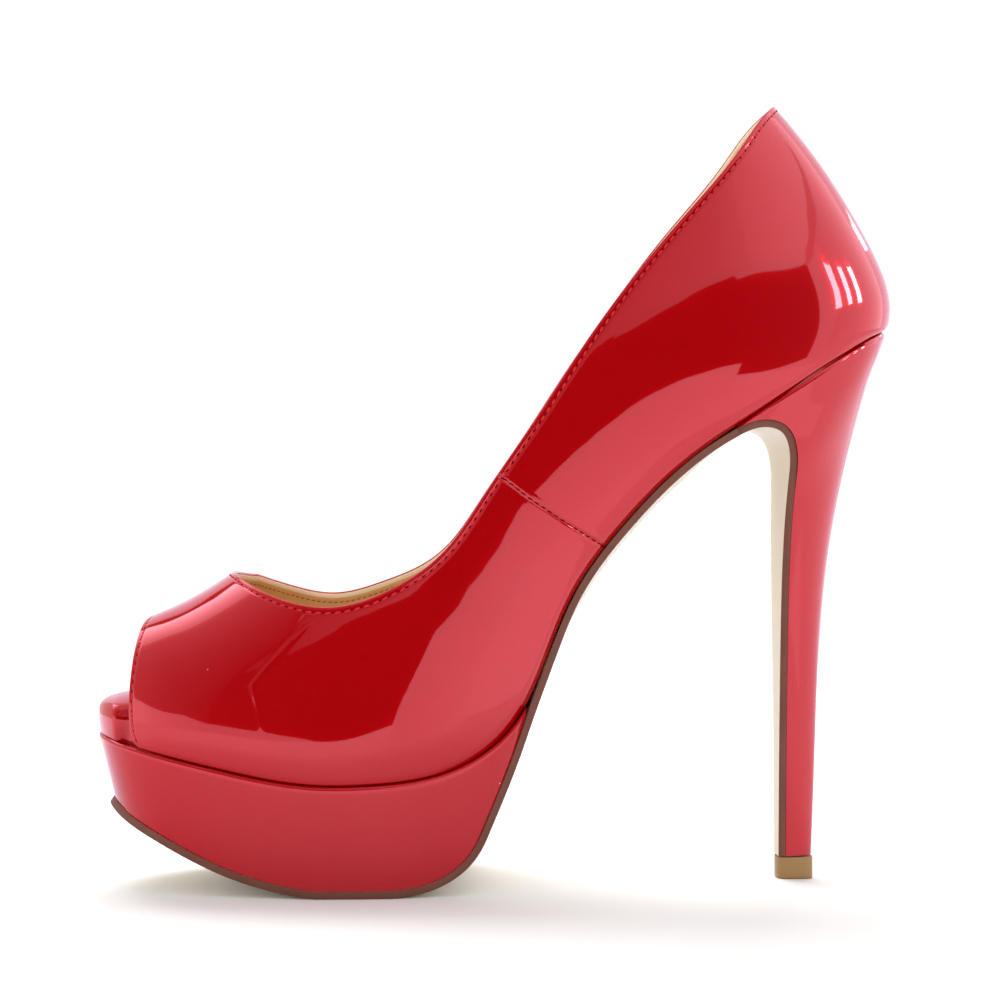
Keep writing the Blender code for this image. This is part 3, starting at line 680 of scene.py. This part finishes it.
def last_face(along, climb, side):
    """Points on the outer face of the upper. along runs on the feather edge from the toe, and climb goes up
    the section from the feather edge, 0, to the ridge, 1."""
    ridge = last.at("ridge", along)
    flare = last.at("flare", along)
    lean = np.radians(last.at("lean", along))
    rise = ridge * np.sin(climb * math.pi / 2)
    arch = np.maximum(1.0 - (np.maximum(rise, 0.0) / ridge) ** FULLNESS, 0.0) ** (1.0 / FULLNESS)
    tuck = np.maximum(1.0 - rise / last.at("swell", along), 0.0) ** 3
    half = last.half(side, along) * ((1.0 + flare) * arch - flare * tuck)
    height = np.clip(rise / BACK_HEIGHT, 0.0, 1.0)
    near_back = np.clip(1.0 - (BACK - along) / BACK_REACH, 0.0, 1.0) ** 2
    bulge = (1.0 - (1.0 - height) ** BACK_TUCK_POWER) * (1.0 - height ** BACK_TOP_POWER)
    bulge = BACK_BULGE * near_back * bulge
    x = last.at("x", along) - rise * np.sin(lean) + bulge * np.cos(lean)
    z = last.at("z", along) + rise * np.cos(lean) + bulge * np.sin(lean)
    return np.stack((x, last.at("centre", along) + side * half, z), axis=-1)


def collar_climb(along, side):
    """How far up the section the collar is cut. Both sides meet at the middle of the throat."""
    medial = last.at("collar_medial", along)
    own = last.at("collar_" + side_name(side), along)
    collar = medial + (own - medial) * np.clip((along - THROAT) / THROAT_EVEN, 0.0, 1.0)
    share = np.clip(collar / last.at("ridge", along), 0.0, 1.0)
    return np.arcsin(share) * 2.0 / math.pi


def ribs(side):
    """The lines that run down the upper, from the back round one side to the middle of the throat: where
    each starts on the collar and where it ends on the feather edge or the peep edge."""
    dense = np.linspace(BACK, BALL, FINE)
    rear = evenly(dense, last.half(side, dense), REAR_RIBS[side])
    if side < 0:
        seam = np.arange(last.reach(SEAM_X[0]), last.reach(SEAM_X[1]), SEAM_STEP)
        rear = np.unique(np.concatenate((rear, seam)))[::-1]
    front = np.linspace(0.0, 1.0, FEATHER_RIBS[side] + PEEP_RIBS + 1)[1:]
    top = np.concatenate((rear, BALL + (THROAT - BALL) * np.sin(front * math.pi / 2)))
    top_climb = collar_climb(top, side)
    top_climb[-1] = 1.0
    feather = np.linspace(BALL, PEEP, FEATHER_RIBS[side] + 1)[1:]
    climb = np.linspace(0.0, 1.0, PEEP_RIBS + 1)[1:]
    peep = PEEP - PEEP_BOW * np.sin(math.pi * np.sqrt(climb))
    edge = np.concatenate((rear, feather))
    below = np.interp(last.at("x", edge), ROLL["x"], ROLL["below"]) / last.at("ridge", edge)
    low = np.concatenate((edge, peep))
    low_climb = np.concatenate((-np.arcsin(below) * 2.0 / math.pi, climb))
    return top, top_climb, low, low_climb


def upper_side(side):
    """One side of the upper: points in rows at set distances from the collar and from the lower edge, those
    distances, and which ribs end on the peep edge."""
    top, top_climb, low, low_climb = (end[:, None] for end in ribs(side))
    share = RIB_STEPS
    face = last_face(top + (low - top) * share, top_climb + (low_climb - top_climb) * share, side)
    steps = np.linalg.norm(np.diff(face, axis=1), axis=-1)
    length = np.concatenate((np.zeros((len(steps), 1)), np.cumsum(steps, axis=1)), axis=1)
    whole = length[:, -1:]
    middle = COLLAR_ROWS[-1] + (whole - COLLAR_ROWS[-1] - FEATHER_ROWS[0]) * MIDDLE_ROWS
    down = np.concatenate((np.tile(COLLAR_ROWS, (len(whole), 1)), middle, whole - FEATHER_ROWS), axis=1)
    share = np.stack([np.interp(*rib, RIB_STEPS) for rib in zip(down, length)])
    face = last_face(top + (low - top) * share, top_climb + (low_climb - top_climb) * share, side)
    return face, down, whole - down, (low_climb > 0.0)[:, 0]


def wear_and_sewing(points, down, up, peep, medial):
    """How far the leather stands off the last: stitch channels, the closing seam, creases, unevenness."""
    stand = sum(height * ripple(points, wavelength, seed) for height, wavelength, seed in RIPPLES)
    stand *= np.clip(np.minimum(down, up) / RIPPLE_FADE, 0.0, 1.0)
    stand += swelling(down - COLLAR_BEAD_AT, *COLLAR_BEAD) + swelling(down - COLLAR_STITCH, *STITCH_TROUGH)
    stand += np.where(peep[:, None], swelling(up - PEEP_STITCH, *STITCH_TROUGH), 0.0)
    high, turn = (np.interp(points[..., 0], ROLL["x"], ROLL[name]) for name in ("high", "turn"))
    stand -= np.where(peep[:, None], 0.0, turn * np.clip(1.0 - up / high, 0.0, 1.0) ** 2)
    away = off_path(points, SEAM)[0]
    seam = swelling(away - SEAM_LIPS_AT, *SEAM_LIPS) + swelling(away, *SEAM_TROUGH)
    stand += np.where(medial[:, None], seam, 0.0)
    for width, height, path in CREASES:
        away, _, along, whole = off_path(points, path)
        fade = np.clip(CREASE_FADE * np.minimum(along, whole - along) / whole, 0.0, 1.0)
        stand += np.where(medial[:, None], swelling(away, height, width) * fade, 0.0)
    return stand


def stitches(name, line, facing, pitch, finish, size, first=0.5):
    """A row of thread along a line of points, each stitch a small grain that lies on the leather."""
    steps = np.linalg.norm(np.diff(line, axis=0), axis=-1)
    length = np.concatenate(([0.0], np.cumsum(steps)))
    count = int(length[-1] / pitch)
    at = (np.arange(count) + first) * length[-1] / count

    def read(values, where):
        return np.stack([np.interp(where, length, values[:, axis]) for axis in range(3)], axis=-1)

    ahead = read(line, at + STITCH_AHEAD) - read(line, at - STITCH_AHEAD)
    ahead /= np.linalg.norm(ahead, axis=-1, keepdims=True)
    above = read(facing, at)
    above /= np.linalg.norm(above, axis=-1, keepdims=True)
    beside = np.cross(above, ahead)
    ahead, beside = ahead + SLANT * beside, beside - SLANT * ahead
    turn = STITCH_TURNS[:, None]
    round_it = np.linspace(0.0, 2.0 * math.pi, STITCH_SIDES, endpoint=False)
    grain = np.stack(np.broadcast_arrays(np.cos(turn), np.sin(turn) * np.cos(round_it),
                                         np.sin(turn) * np.sin(round_it)), axis=-1) * size
    points = read(line, at)[:, None, None, :] + np.einsum("abk,nkc->nabc", grain,
                                                          np.stack((ahead, beside, above), axis=1))
    rings, sides = grain.shape[:2]
    ring = np.arange(rings - 1)[:, None] * sides
    spot = np.arange(sides)
    quads = np.stack((ring + spot, ring + (spot + 1) % sides, ring + sides + (spot + 1) % sides,
                      ring + sides + spot), axis=-1).reshape(-1, 4)
    faces = []
    for stitch in range(count):
        start = stitch * rings * sides
        faces.extend((quads + start).tolist())
        faces.append((spot[::-1] + start).tolist())
        faces.append((spot + start + (rings - 1) * sides).tolist())
    return piece(name, points, faces, (finish,))


def make_upper():
    """The patent upper with its turned edges, the lining inside it, and the rows of stitches. Its
    turned-under lower edge is painted dark red as the shade of the crevice below it, and dark grains at the
    stitch holes are painted shade.
    """
    near, far = upper_side(-1), upper_side(1)
    face, down, up = (np.concatenate((near[part], far[part][-2:0:-1])) for part in range(3))
    peep = np.concatenate((near[3], far[3][-2:0:-1]))
    medial = np.arange(len(face)) < len(near[0])
    facing = grid_normals(face, True)
    face = face + wear_and_sewing(face, down, up, peep, medial)[..., None] * facing
    facing = grid_normals(face, True)
    inner = face - 2.0 * LEATHER_EDGE * facing

    def rim(edge, next_row, turns, stand):
        out = face[:, edge] - face[:, next_row]
        out = (out / np.linalg.norm(out, axis=-1, keepdims=True))[:, None]
        middle = (face[:, edge] - LEATHER_EDGE * facing[:, edge])[:, None]
        turns = turns[None, :, None]
        round_it = np.sin(turns) * out + np.cos(turns) * facing[:, edge, None]
        return middle + (LEATHER_EDGE + np.asarray(stand)[..., None]) * round_it

    collar, hem = rim(0, 1, EDGE_TURNS, 0.0), rim(-1, -2, EDGE_TURNS, 0.0)
    turned_in = inner[:, COLLAR_INSIDE:0:-1]
    turned_under = inner[:, -2:-2 - HEM_INSIDE:-1]
    skin = np.concatenate((turned_in, collar[:, ::-1], face, hem, turned_under), axis=1)
    kinds = np.zeros((len(skin), skin.shape[1] - 1), dtype=int)
    # Away from the peep, the turned-under lower edge is painted dark red as the shade of the crevice above
    # the sole
    kinds[~peep, -PAINTED_SHADE_ROWS:] = 1
    piece("upper_leather", skin, grid_faces(*skin.shape[:2], True), (red_patent, red_painted_shade),
          "upper", kinds.ravel())
    first, coarse, every = LINING_ROWS
    rows = np.concatenate((np.arange(first, coarse), np.arange(coarse, face.shape[1], every)))
    inside = face[:, rows] - WALL * facing[:, rows]
    cloth = np.concatenate((rim(0, 1, TAPE_TURNS, TAPE_STAND), inside), axis=1)
    depth = np.concatenate((np.zeros(len(TAPE_TURNS)), down[0, rows]))[::-1]
    kinds = np.tile((depth[:-1] < TAPE).astype(int), len(cloth))
    piece("lining", cloth[:, ::-1], grid_faces(*cloth.shape[:2], True), (tan_lining, cream_tape),
          None, kinds)

    def row_at(values, wanted, distance):
        order = 1 if distance[0, 0] < distance[0, -1] else -1
        return np.stack([[np.interp(wanted, far_off[::order], rib[::order, axis]) for axis in range(3)]
                         for far_off, rib in zip(distance, values)])

    sewn, above = row_at(face, COLLAR_STITCH, down), row_at(facing, COLLAR_STITCH, down)
    stitches("collar_stitches", sewn, above, PITCH, red_thread, THREAD)
    # Flat dark red grains between the collar stitches: painted shade in the stitch holes
    stitches("collar_hole_shade", sewn, above, PITCH, red_painted_shade, HOLE_SHADE, 0.0)
    front = np.where(peep)[0]
    sewn, above = row_at(face, PEEP_STITCH, up)[front], row_at(facing, PEEP_STITCH, up)[front]
    stitches("peep_stitches", sewn, above, PITCH, red_thread, THREAD)
    # Flat dark red grains between the peep stitches: painted shade in the stitch holes
    stitches("peep_hole_shade", sewn, above, PITCH, red_painted_shade, HOLE_SHADE, 0.0)
    sewn, above = row_at(face - WALL * facing, LINING_STITCH, down), -row_at(facing, LINING_STITCH, down)
    stitches("lining_stitches", sewn, above, LINING_PITCH, olive_thread, LINING_THREAD)
    away, side, along, _ = off_path(face[medial], SEAM)
    across = away * side
    rib, row = np.where((across[:, :-1] * across[:, 1:] < 0.0) & (away[:, :-1] < SEAM_NEAR))
    order = np.argsort(along[rib, row])
    rib, row = rib[order], row[order]
    share = (across[rib, row] / (across[rib, row] - across[rib, row + 1]))[:, None]
    sewn = face[rib, row] + (face[rib, row + 1] - face[rib, row]) * share + SEAM_LIFT * facing[rib, row]
    stitches("seam_stitches", sewn, facing[rib, row], SEAM_PITCH, dark_thread, SEAM_THREAD)


def sole_stations(first, final):
    """The distances of the sole's rows from one named row to another."""
    stations = [sole.first()]
    for start, end, steps in SOLE_STEPS:
        part = np.linspace(max(sole.station(start), stations[0]), sole.station(end), FINE)
        stations.extend(evenly(part, sole.half(-1, part), steps)[1:])
    stations = np.array(stations)
    kept = (stations > sole.station(first) - GAP) & (stations < sole.station(final) + GAP)
    return stations[kept]


def draw_in(x, z, along):
    """How far the sides of the heel are drawn in below the seat. It fades out down the heel."""
    down = along - sole.station("lip")
    below = np.maximum(np.interp(x, *SEAT_LINE) - z, 0.0)
    share = np.clip(1.0 - down / DRAW_FADE, 0.0, 1.0) ** 2 * (down > 0.0)
    return HEEL_DRAW * (1.0 - np.exp(-below / DRAW_OVER)) * share


def make_outsole():
    """The thin sole sheet: a cream face with a painted edge."""
    loops = []
    for along in sole_stations("tip", "stem_end"):
        drawn = draw_in(*sole.line(along), along)
        medial, lateral = sole.half(-1, along) - drawn, sole.half(1, along) - drawn
        curve = min(SOLE_EDGE_ROUND, SOLE_EDGE_SHARE * medial)
        flat = np.where(SOLE_ACROSS < 0, SOLE_ACROSS * (medial - curve), SOLE_ACROSS * (lateral - curve))
        bow = -SOLE_CAMBER * sole.camber("lip", along) * (1.0 - SOLE_ACROSS ** 2)
        outer = sole.across(along, flat, bow)
        inner = sole.across(along, flat, bow + SOLE_FULL)
        low, high = SOLE_EDGE_ROUND, SOLE_FULL - SOLE_EDGE_DROP
        far_edge = sole.across(along, np.full(2, lateral), np.array((low, high)))
        near_edge = sole.across(along, np.full(2, -medial), np.array((high, low)))
        loops.append(np.concatenate((outer, far_edge, inner[::-1], near_edge)))
    face = np.zeros(len(SOLE_ACROSS) - 1, dtype=int)
    edge = np.ones(3, dtype=int)
    kinds = np.concatenate((face, edge) * 2)
    loft("sole_sheet", loops, (cream_sole, brown_edge), "outsole", kinds)


def make_platform():
    """The wrapped block under the forefoot, with a round upper edge, ending in a wedge."""
    lift = SOLE_THICK + GAP
    low = sole_stations("tip", "wedge_end")
    wedge = last.reach(sole.line(low[-1], lift)[0])
    top = np.interp(low, (low[0], sole.station("turn"), low[-1]), (last.first(), BALL, wedge))
    inset = PLATFORM_ROUND * (1.0 - np.cos(ROUND_TURNS))
    fall = PLATFORM_ROUND * (1.0 - np.sin(ROUND_TURNS))
    drop = np.concatenate((fall, np.zeros(PLATFORM_MIDDLE), fall[::-1]))
    base = np.linspace(-1.0, 1.0, len(drop))
    loops = []
    for high, deep in zip(top, low):
        medial = last.half(-1, high) + PLATFORM_PROUD
        lateral = last.half(1, high) + PLATFORM_PROUD
        edge = inset * min(1.0, PLATFORM_FLAT * medial / PLATFORM_ROUND)
        middle = np.linspace(-PLATFORM_FLAT * medial, PLATFORM_FLAT * lateral, PLATFORM_MIDDLE)
        sideways = np.concatenate((edge - medial, middle, lateral - edge[::-1]))
        fade = np.clip((wedge - high) / PLATFORM_ROUND_FADE, 0.0, 1.0)
        roof = last.across(high, sideways, -PLATFORM_BELOW - drop * fade)
        halves = np.where(base < 0, sole.half(-1, deep), sole.half(1, deep)) - PLATFORM_TUCK
        floor = sole.across(deep, base * np.maximum(halves, PLATFORM_LEAST), lift)
        down = roof[-1] + (floor[-1] - roof[-1]) * PLATFORM_SIDE[:, None]
        rise = floor[0] + (roof[0] - floor[0]) * PLATFORM_SIDE[:, None]
        loop = np.concatenate((roof, down, floor[::-1], rise))
        loops.append(np.roll(loop, -(len(roof) // 2), axis=0))
    loft("platform_wrap", loops, (red_patent,), "platform")


def bare_toe(along):
    """1 where the insole shows in front of the upper, 0 inside it."""
    share = (last.at("x", along) - INSOLE_BARE_X[0]) / (INSOLE_BARE_X[1] - INSOLE_BARE_X[0])
    share = np.clip(share, 0.0, 1.0)
    return 1.0 - share * share * (3.0 - 2.0 * share)


def insole_half(along, side):
    """The insole's half-width: inside the upper's wall, and past the platform's edge at the bare toe."""
    inset = (WALL + WALL_CLEAR) * (1.0 - bare_toe(along)) - INSOLE_PROUD * bare_toe(along)
    back = np.clip(1.0 - (BACK - along) / INSOLE_BACK_FADE, 0.0, 1.0) ** 2
    return last.half(side, along + inset * back) - inset * (1.0 - back)


def insole_roof(along, width, above):
    """A row across the top of the insole, at a share of its width and a height above it."""
    place = np.interp(last.at("x", along), board.columns["x"], board.knots)
    medial = insole_half(along, -1)
    lateral = insole_half(along, 1)
    radius = board.at("round", place)
    nose = np.clip(1.0 - (last.at("x", along) - LAST["tip"][0]) / radius, 0.0, 1.0)
    edge = min(radius, INSOLE_EDGE_SHARE * medial)
    bend = edge * (1.0 - np.cos(ROUND_TURNS))
    fall = edge * (1.0 - np.sin(ROUND_TURNS))
    middle = np.where(INSOLE_MIDDLE < 0, INSOLE_MIDDLE * (medial - edge), INSOLE_MIDDLE * (lateral - edge))
    sideways = np.concatenate((bend - medial, middle, lateral - bend[::-1]))
    share = np.where(sideways < 0, sideways / medial, sideways / lateral)
    crown = 1.0 - share ** 2
    lift = board.at("thick", place) + board.at("dome", place) * crown
    lift = lift - radius * (1.0 - math.sqrt(1.0 - nose ** 2))
    lift = lift - np.concatenate((fall, np.zeros(len(middle)), fall[::-1])) + above
    roof = last.across(along, sideways * width, lift)
    forward = last.at("x", along) - INSOLE_FORWARD
    roof[:, 0] += (forward - roof[:, 0]) * bare_toe(along)
    return roof, sideways, crown, medial


def make_insole():
    """The board with its red wrapped front, and the tan sock that covers the rest of it."""
    dense = np.linspace(last.first(), BACK - WALL - WALL_CLEAR - GAP, FINE)
    stations = evenly(dense, insole_half(dense, -1), INSOLE_STEPS)
    loops = []
    sock = []
    for along in stations:
        roof, sideways, crown, medial = insole_roof(along, 1.0, 0.0)
        tuck = 1.0 - INSOLE_TUCK / max(medial, INSOLE_TUCK_FROM)
        bow = INSOLE_CAMBER * last.camber("shank", along) * crown
        loops.append(np.concatenate((roof, last.across(along, sideways * tuck, -bow)[::-1])))
        if last.at("x", along) > SOCK_FRONT_X and along < BACK - SOCK_BACK:
            cover = insole_roof(along, SOCK_WIDTH, SOCK_THICK)[0]
            under = insole_roof(along, SOCK_WIDTH, SOCK_GAP)[0]
            sock.append(np.concatenate((cover, under[::-1])))
    loft("insole_wrap", loops, (red_patent,), "insole")
    loft("sock", sock, (tan_sock,), None)


def make_heel():
    """The covered heel: its top fits the sloping seat, its front the outsole, and it thins downwards."""
    lift = SOLE_THICK + GAP
    stations = sole_stations("lip", "stem_end")
    fronts = np.array([sole.station(name) for name in HEEL_BACK])
    angle = np.linspace(0.0, math.pi / 2, HEEL_SIDES + 1)
    depth = np.sin(angle) ** (2.0 / HEEL_ROUND)
    lip_x = sole.line(stations[0], lift)[0]
    seat = last.reach(lip_x + (LAST["back"][0] - lip_x) * depth)
    seat_x, seat_z = last.line(seat, -GAP)
    crown = seat_z - np.interp(seat_x, seat_x[[0, -1]], seat_z[[0, -1]])
    rows = [(stations[0], 1.0, seat_x, seat_z)]
    for along in stations:
        fade = max(0.0, 1.0 - (along - stations[0]) / SEAT_FADE) ** 2
        front_x, front_z = sole.line(along, lift)
        opposite = np.interp(along, fronts, heel_back.knots)
        x = front_x + (heel_back.at("x", opposite) - front_x) * depth
        z = front_z + (heel_back.at("z", opposite) - front_z) * depth + crown * fade
        rows.append((along, fade, x, z))
    loops = []
    for along, fade, x, z in rows:
        under = np.clip((np.interp(x, seat_x, seat_z) - z) / HEEL_ROLL, 0.0, 1.0)
        roll = HEEL_ROLL * (1.0 - np.sqrt(1.0 - (1.0 - under) ** 2))
        drawn = draw_in(x, z, along)
        x = x - roll * np.sin(angle)
        power = HEEL_ROUND - HEEL_SLIM * (1.0 - fade)
        width = np.maximum(1.0 - depth ** power, 0.0) ** (1.0 / power)
        near, far = (
            np.maximum(last.half(side, seat) * fade + sole.half(side, along) * width * (1.0 - fade)
                       - roll * np.cos(angle) - drawn * width, 0.0)
            for side in (-1, 1)
        )
        loop = np.stack((x, HEEL_CENTRE - near, z), axis=-1)
        back = np.stack((x, HEEL_CENTRE + far, z), axis=-1)
        loops.append(np.concatenate((loop, back[-2::-1])))
    loft("heel_cover", loops, (red_patent,), "heel")


def make_top_piece():
    """The plastic top piece that the heel walks on: a rounded square with a worn lower edge."""
    middle = 0.5 * (TOP_PIECE_X[0] + TOP_PIECE_X[1])
    reach = 0.5 * (TOP_PIECE_X[1] - TOP_PIECE_X[0])
    angle = (np.arange(TOP_PIECE_SIDES) + 0.5) * 2.0 * math.pi / TOP_PIECE_SIDES
    across = np.sign(np.cos(angle)) * np.abs(np.cos(angle)) ** (2.0 / TOP_PIECE_SQUARE)
    beside = np.sign(np.sin(angle)) * np.abs(np.sin(angle)) ** (2.0 / TOP_PIECE_SQUARE)
    loops = []
    heights = TOP_PIECE_EDGE * (1.0 - np.sin(ROUND_TURNS))[::-1]
    insets = TOP_PIECE_EDGE * (1.0 - np.cos(ROUND_TURNS))[::-1]
    for height, inset in (*zip(heights, insets), (TOP_PIECE_HIGH, 0.0)):
        x = middle + across * (reach - inset)
        y = HEEL_CENTRE + beside * (TOP_PIECE_HALF - inset)
        loops.append(np.stack((x, y, np.full(TOP_PIECE_SIDES, height)), axis=-1))
    loft("top_piece_plastic", loops, (ochre,), "top_piece")


def stage_piece(name, grid, finish):
    """A smooth sheet of the studio through a grid of points in metres."""
    mesh = bpy.data.meshes.new(name)
    mesh.from_pydata(grid.reshape(-1, 3).tolist(), [], grid_faces(*grid.shape[:2], False))
    mesh.materials.append(finish)
    mesh.shade_smooth()
    item = bpy.data.objects.new(name, mesh)
    bpy.context.collection.objects.link(item)
    return item


def plain(name, colour):
    """A dull finish of one colour for the studio."""
    made = bpy.data.materials.new(name)
    made.use_nodes = True
    shader = made.node_tree.nodes["Principled BSDF"]
    shader.inputs["Base Color"].default_value = (*colour, 1.0)
    shader.inputs["Roughness"].default_value = 1.0
    shader.inputs["Specular IOR Level"].default_value = 0.0
    return made


def glowing():
    """The finish of the cards, as bright as each card says."""
    made = plain("glowing card", (0.0, 0.0, 0.0))
    shader = made.node_tree.nodes["Principled BSDF"]
    glow = Shade(made.node_tree).make("ShaderNodeAttribute", {"attribute_name": "glow"}, {}, "Color")
    made.node_tree.links.new(glow.socket, shader.inputs["Emission Color"])
    shader.inputs["Emission Strength"].default_value = 1.0
    return made


def light_up(item, glow):
    """Each point of a sheet as bright as given. Its light stays off the floor and the shoe's own colour."""
    item.data.attributes.new("glow", "FLOAT_COLOR", "POINT").data.foreach_set("color", glow.ravel())
    item.visible_diffuse = False
    item.visible_shadow = False


def make_card(name, turns, lows, highs, away, glows, finish):
    """A curved card that stands round the shoe, out of the camera's sight: it shows only in the gloss."""
    turn = np.linspace(turns[0], turns[-1], CARD_GRID[0])[:, None]
    low, high, bright = (np.interp(turn, turns, np.broadcast_to(part, len(turns)))
                         for part in (lows, highs, glows))
    height = np.radians(low + (high - low) * np.linspace(0.0, 1.0, CARD_GRID[1]))
    turn = np.radians(turn)
    level = np.cos(height)
    grid = np.stack((np.sin(turn) * level, -np.cos(turn) * level, np.sin(height)), axis=-1)
    card = stage_piece(name, CARD_CENTRE + away * grid, finish)
    card.visible_camera = False
    glow = np.ones((*grid.shape[:2], 4))
    glow[..., :3] = bright[..., None] * DAYLIGHT
    light_up(card, glow)


def make_studio():
    """A white floor and backdrop under a white sky, a soft light overhead, and cards seen in the gloss."""
    x, y = np.meshgrid(FLOOR_X, FLOOR_Y, indexing="ij")
    stage_piece("floor", np.stack((x, y, np.zeros((2, 2))), axis=-1), plain("white floor", FLOOR_WHITE))
    finish = glowing()
    # A glowing sheet just above the floor that shows only in the gloss: a painted reflection of the floor,
    # dimmed near the footprint as painted shadow of the shoe
    x, y = np.meshgrid(SHINE_X, SHINE_Y, indexing="ij")
    shine = stage_piece("floor shine", np.stack((x, y, np.full(x.shape, MM)), axis=-1), finish)
    shine.visible_camera = False
    beside = np.maximum(np.maximum(FOOTPRINT_X[0] - x, x - FOOTPRINT_X[1]), 0.0)
    away = np.hypot(beside, np.maximum(np.abs(y) - FOOTPRINT_HALF, 0.0))
    glow = np.ones((*x.shape, 4))
    glow[..., :3] = np.interp(away, *FLOOR_GLOW)[..., None] * DAYLIGHT
    light_up(shine, glow)
    x, z = np.meshgrid(BACKDROP_X, BACKDROP_Z, indexing="ij")
    backdrop = stage_piece("backdrop", np.stack((x, np.full((2, 2), BACKDROP_Y), z), axis=-1), finish)
    backdrop.visible_glossy = False
    light_up(backdrop, np.full((2, 2, 4), BACKDROP))
    for name, card in CARDS.items():
        make_card(name, *card, finish)
    world = bpy.data.worlds.new("studio")
    world.use_nodes = True
    sky = world.node_tree.nodes["Background"]
    sky.inputs["Color"].default_value = (1.0, 1.0, 1.0, 1.0)
    sky.inputs["Strength"].default_value = SKY
    bpy.context.scene.world = world
    light = bpy.data.lights.new("overhead", "AREA")
    light.shape = "RECTANGLE"
    light.size, light.size_y = OVERHEAD_SIZE
    light.energy = OVERHEAD
    overhead = bpy.data.objects.new("overhead", light)
    overhead.location = OVERHEAD_AT
    overhead.rotation_euler = (-Vector(OVERHEAD_AT)).to_track_quat("-Z", "Y").to_euler()
    overhead.visible_glossy = False
    bpy.context.collection.objects.link(overhead)


def make_camera():
    """The photograph's view: level, from the inner side, a little towards the toe."""
    lens = bpy.data.cameras.new("camera")
    lens.lens = LENS
    lens.sensor_width = SENSOR
    lens.clip_start = 0.01
    camera = bpy.data.objects.new("camera", lens)
    camera.location = CAMERA_AT
    aim = Vector(CAMERA_AIM) - Vector(CAMERA_AT)
    camera.rotation_euler = aim.to_track_quat("-Z", "Y").to_euler()
    bpy.context.collection.objects.link(camera)
    bpy.context.scene.camera = camera
    bpy.context.scene.view_settings.view_transform = "Standard"


make_upper()
make_platform()
make_insole()
make_outsole()
make_heel()
make_top_piece()
make_studio()
make_camera()
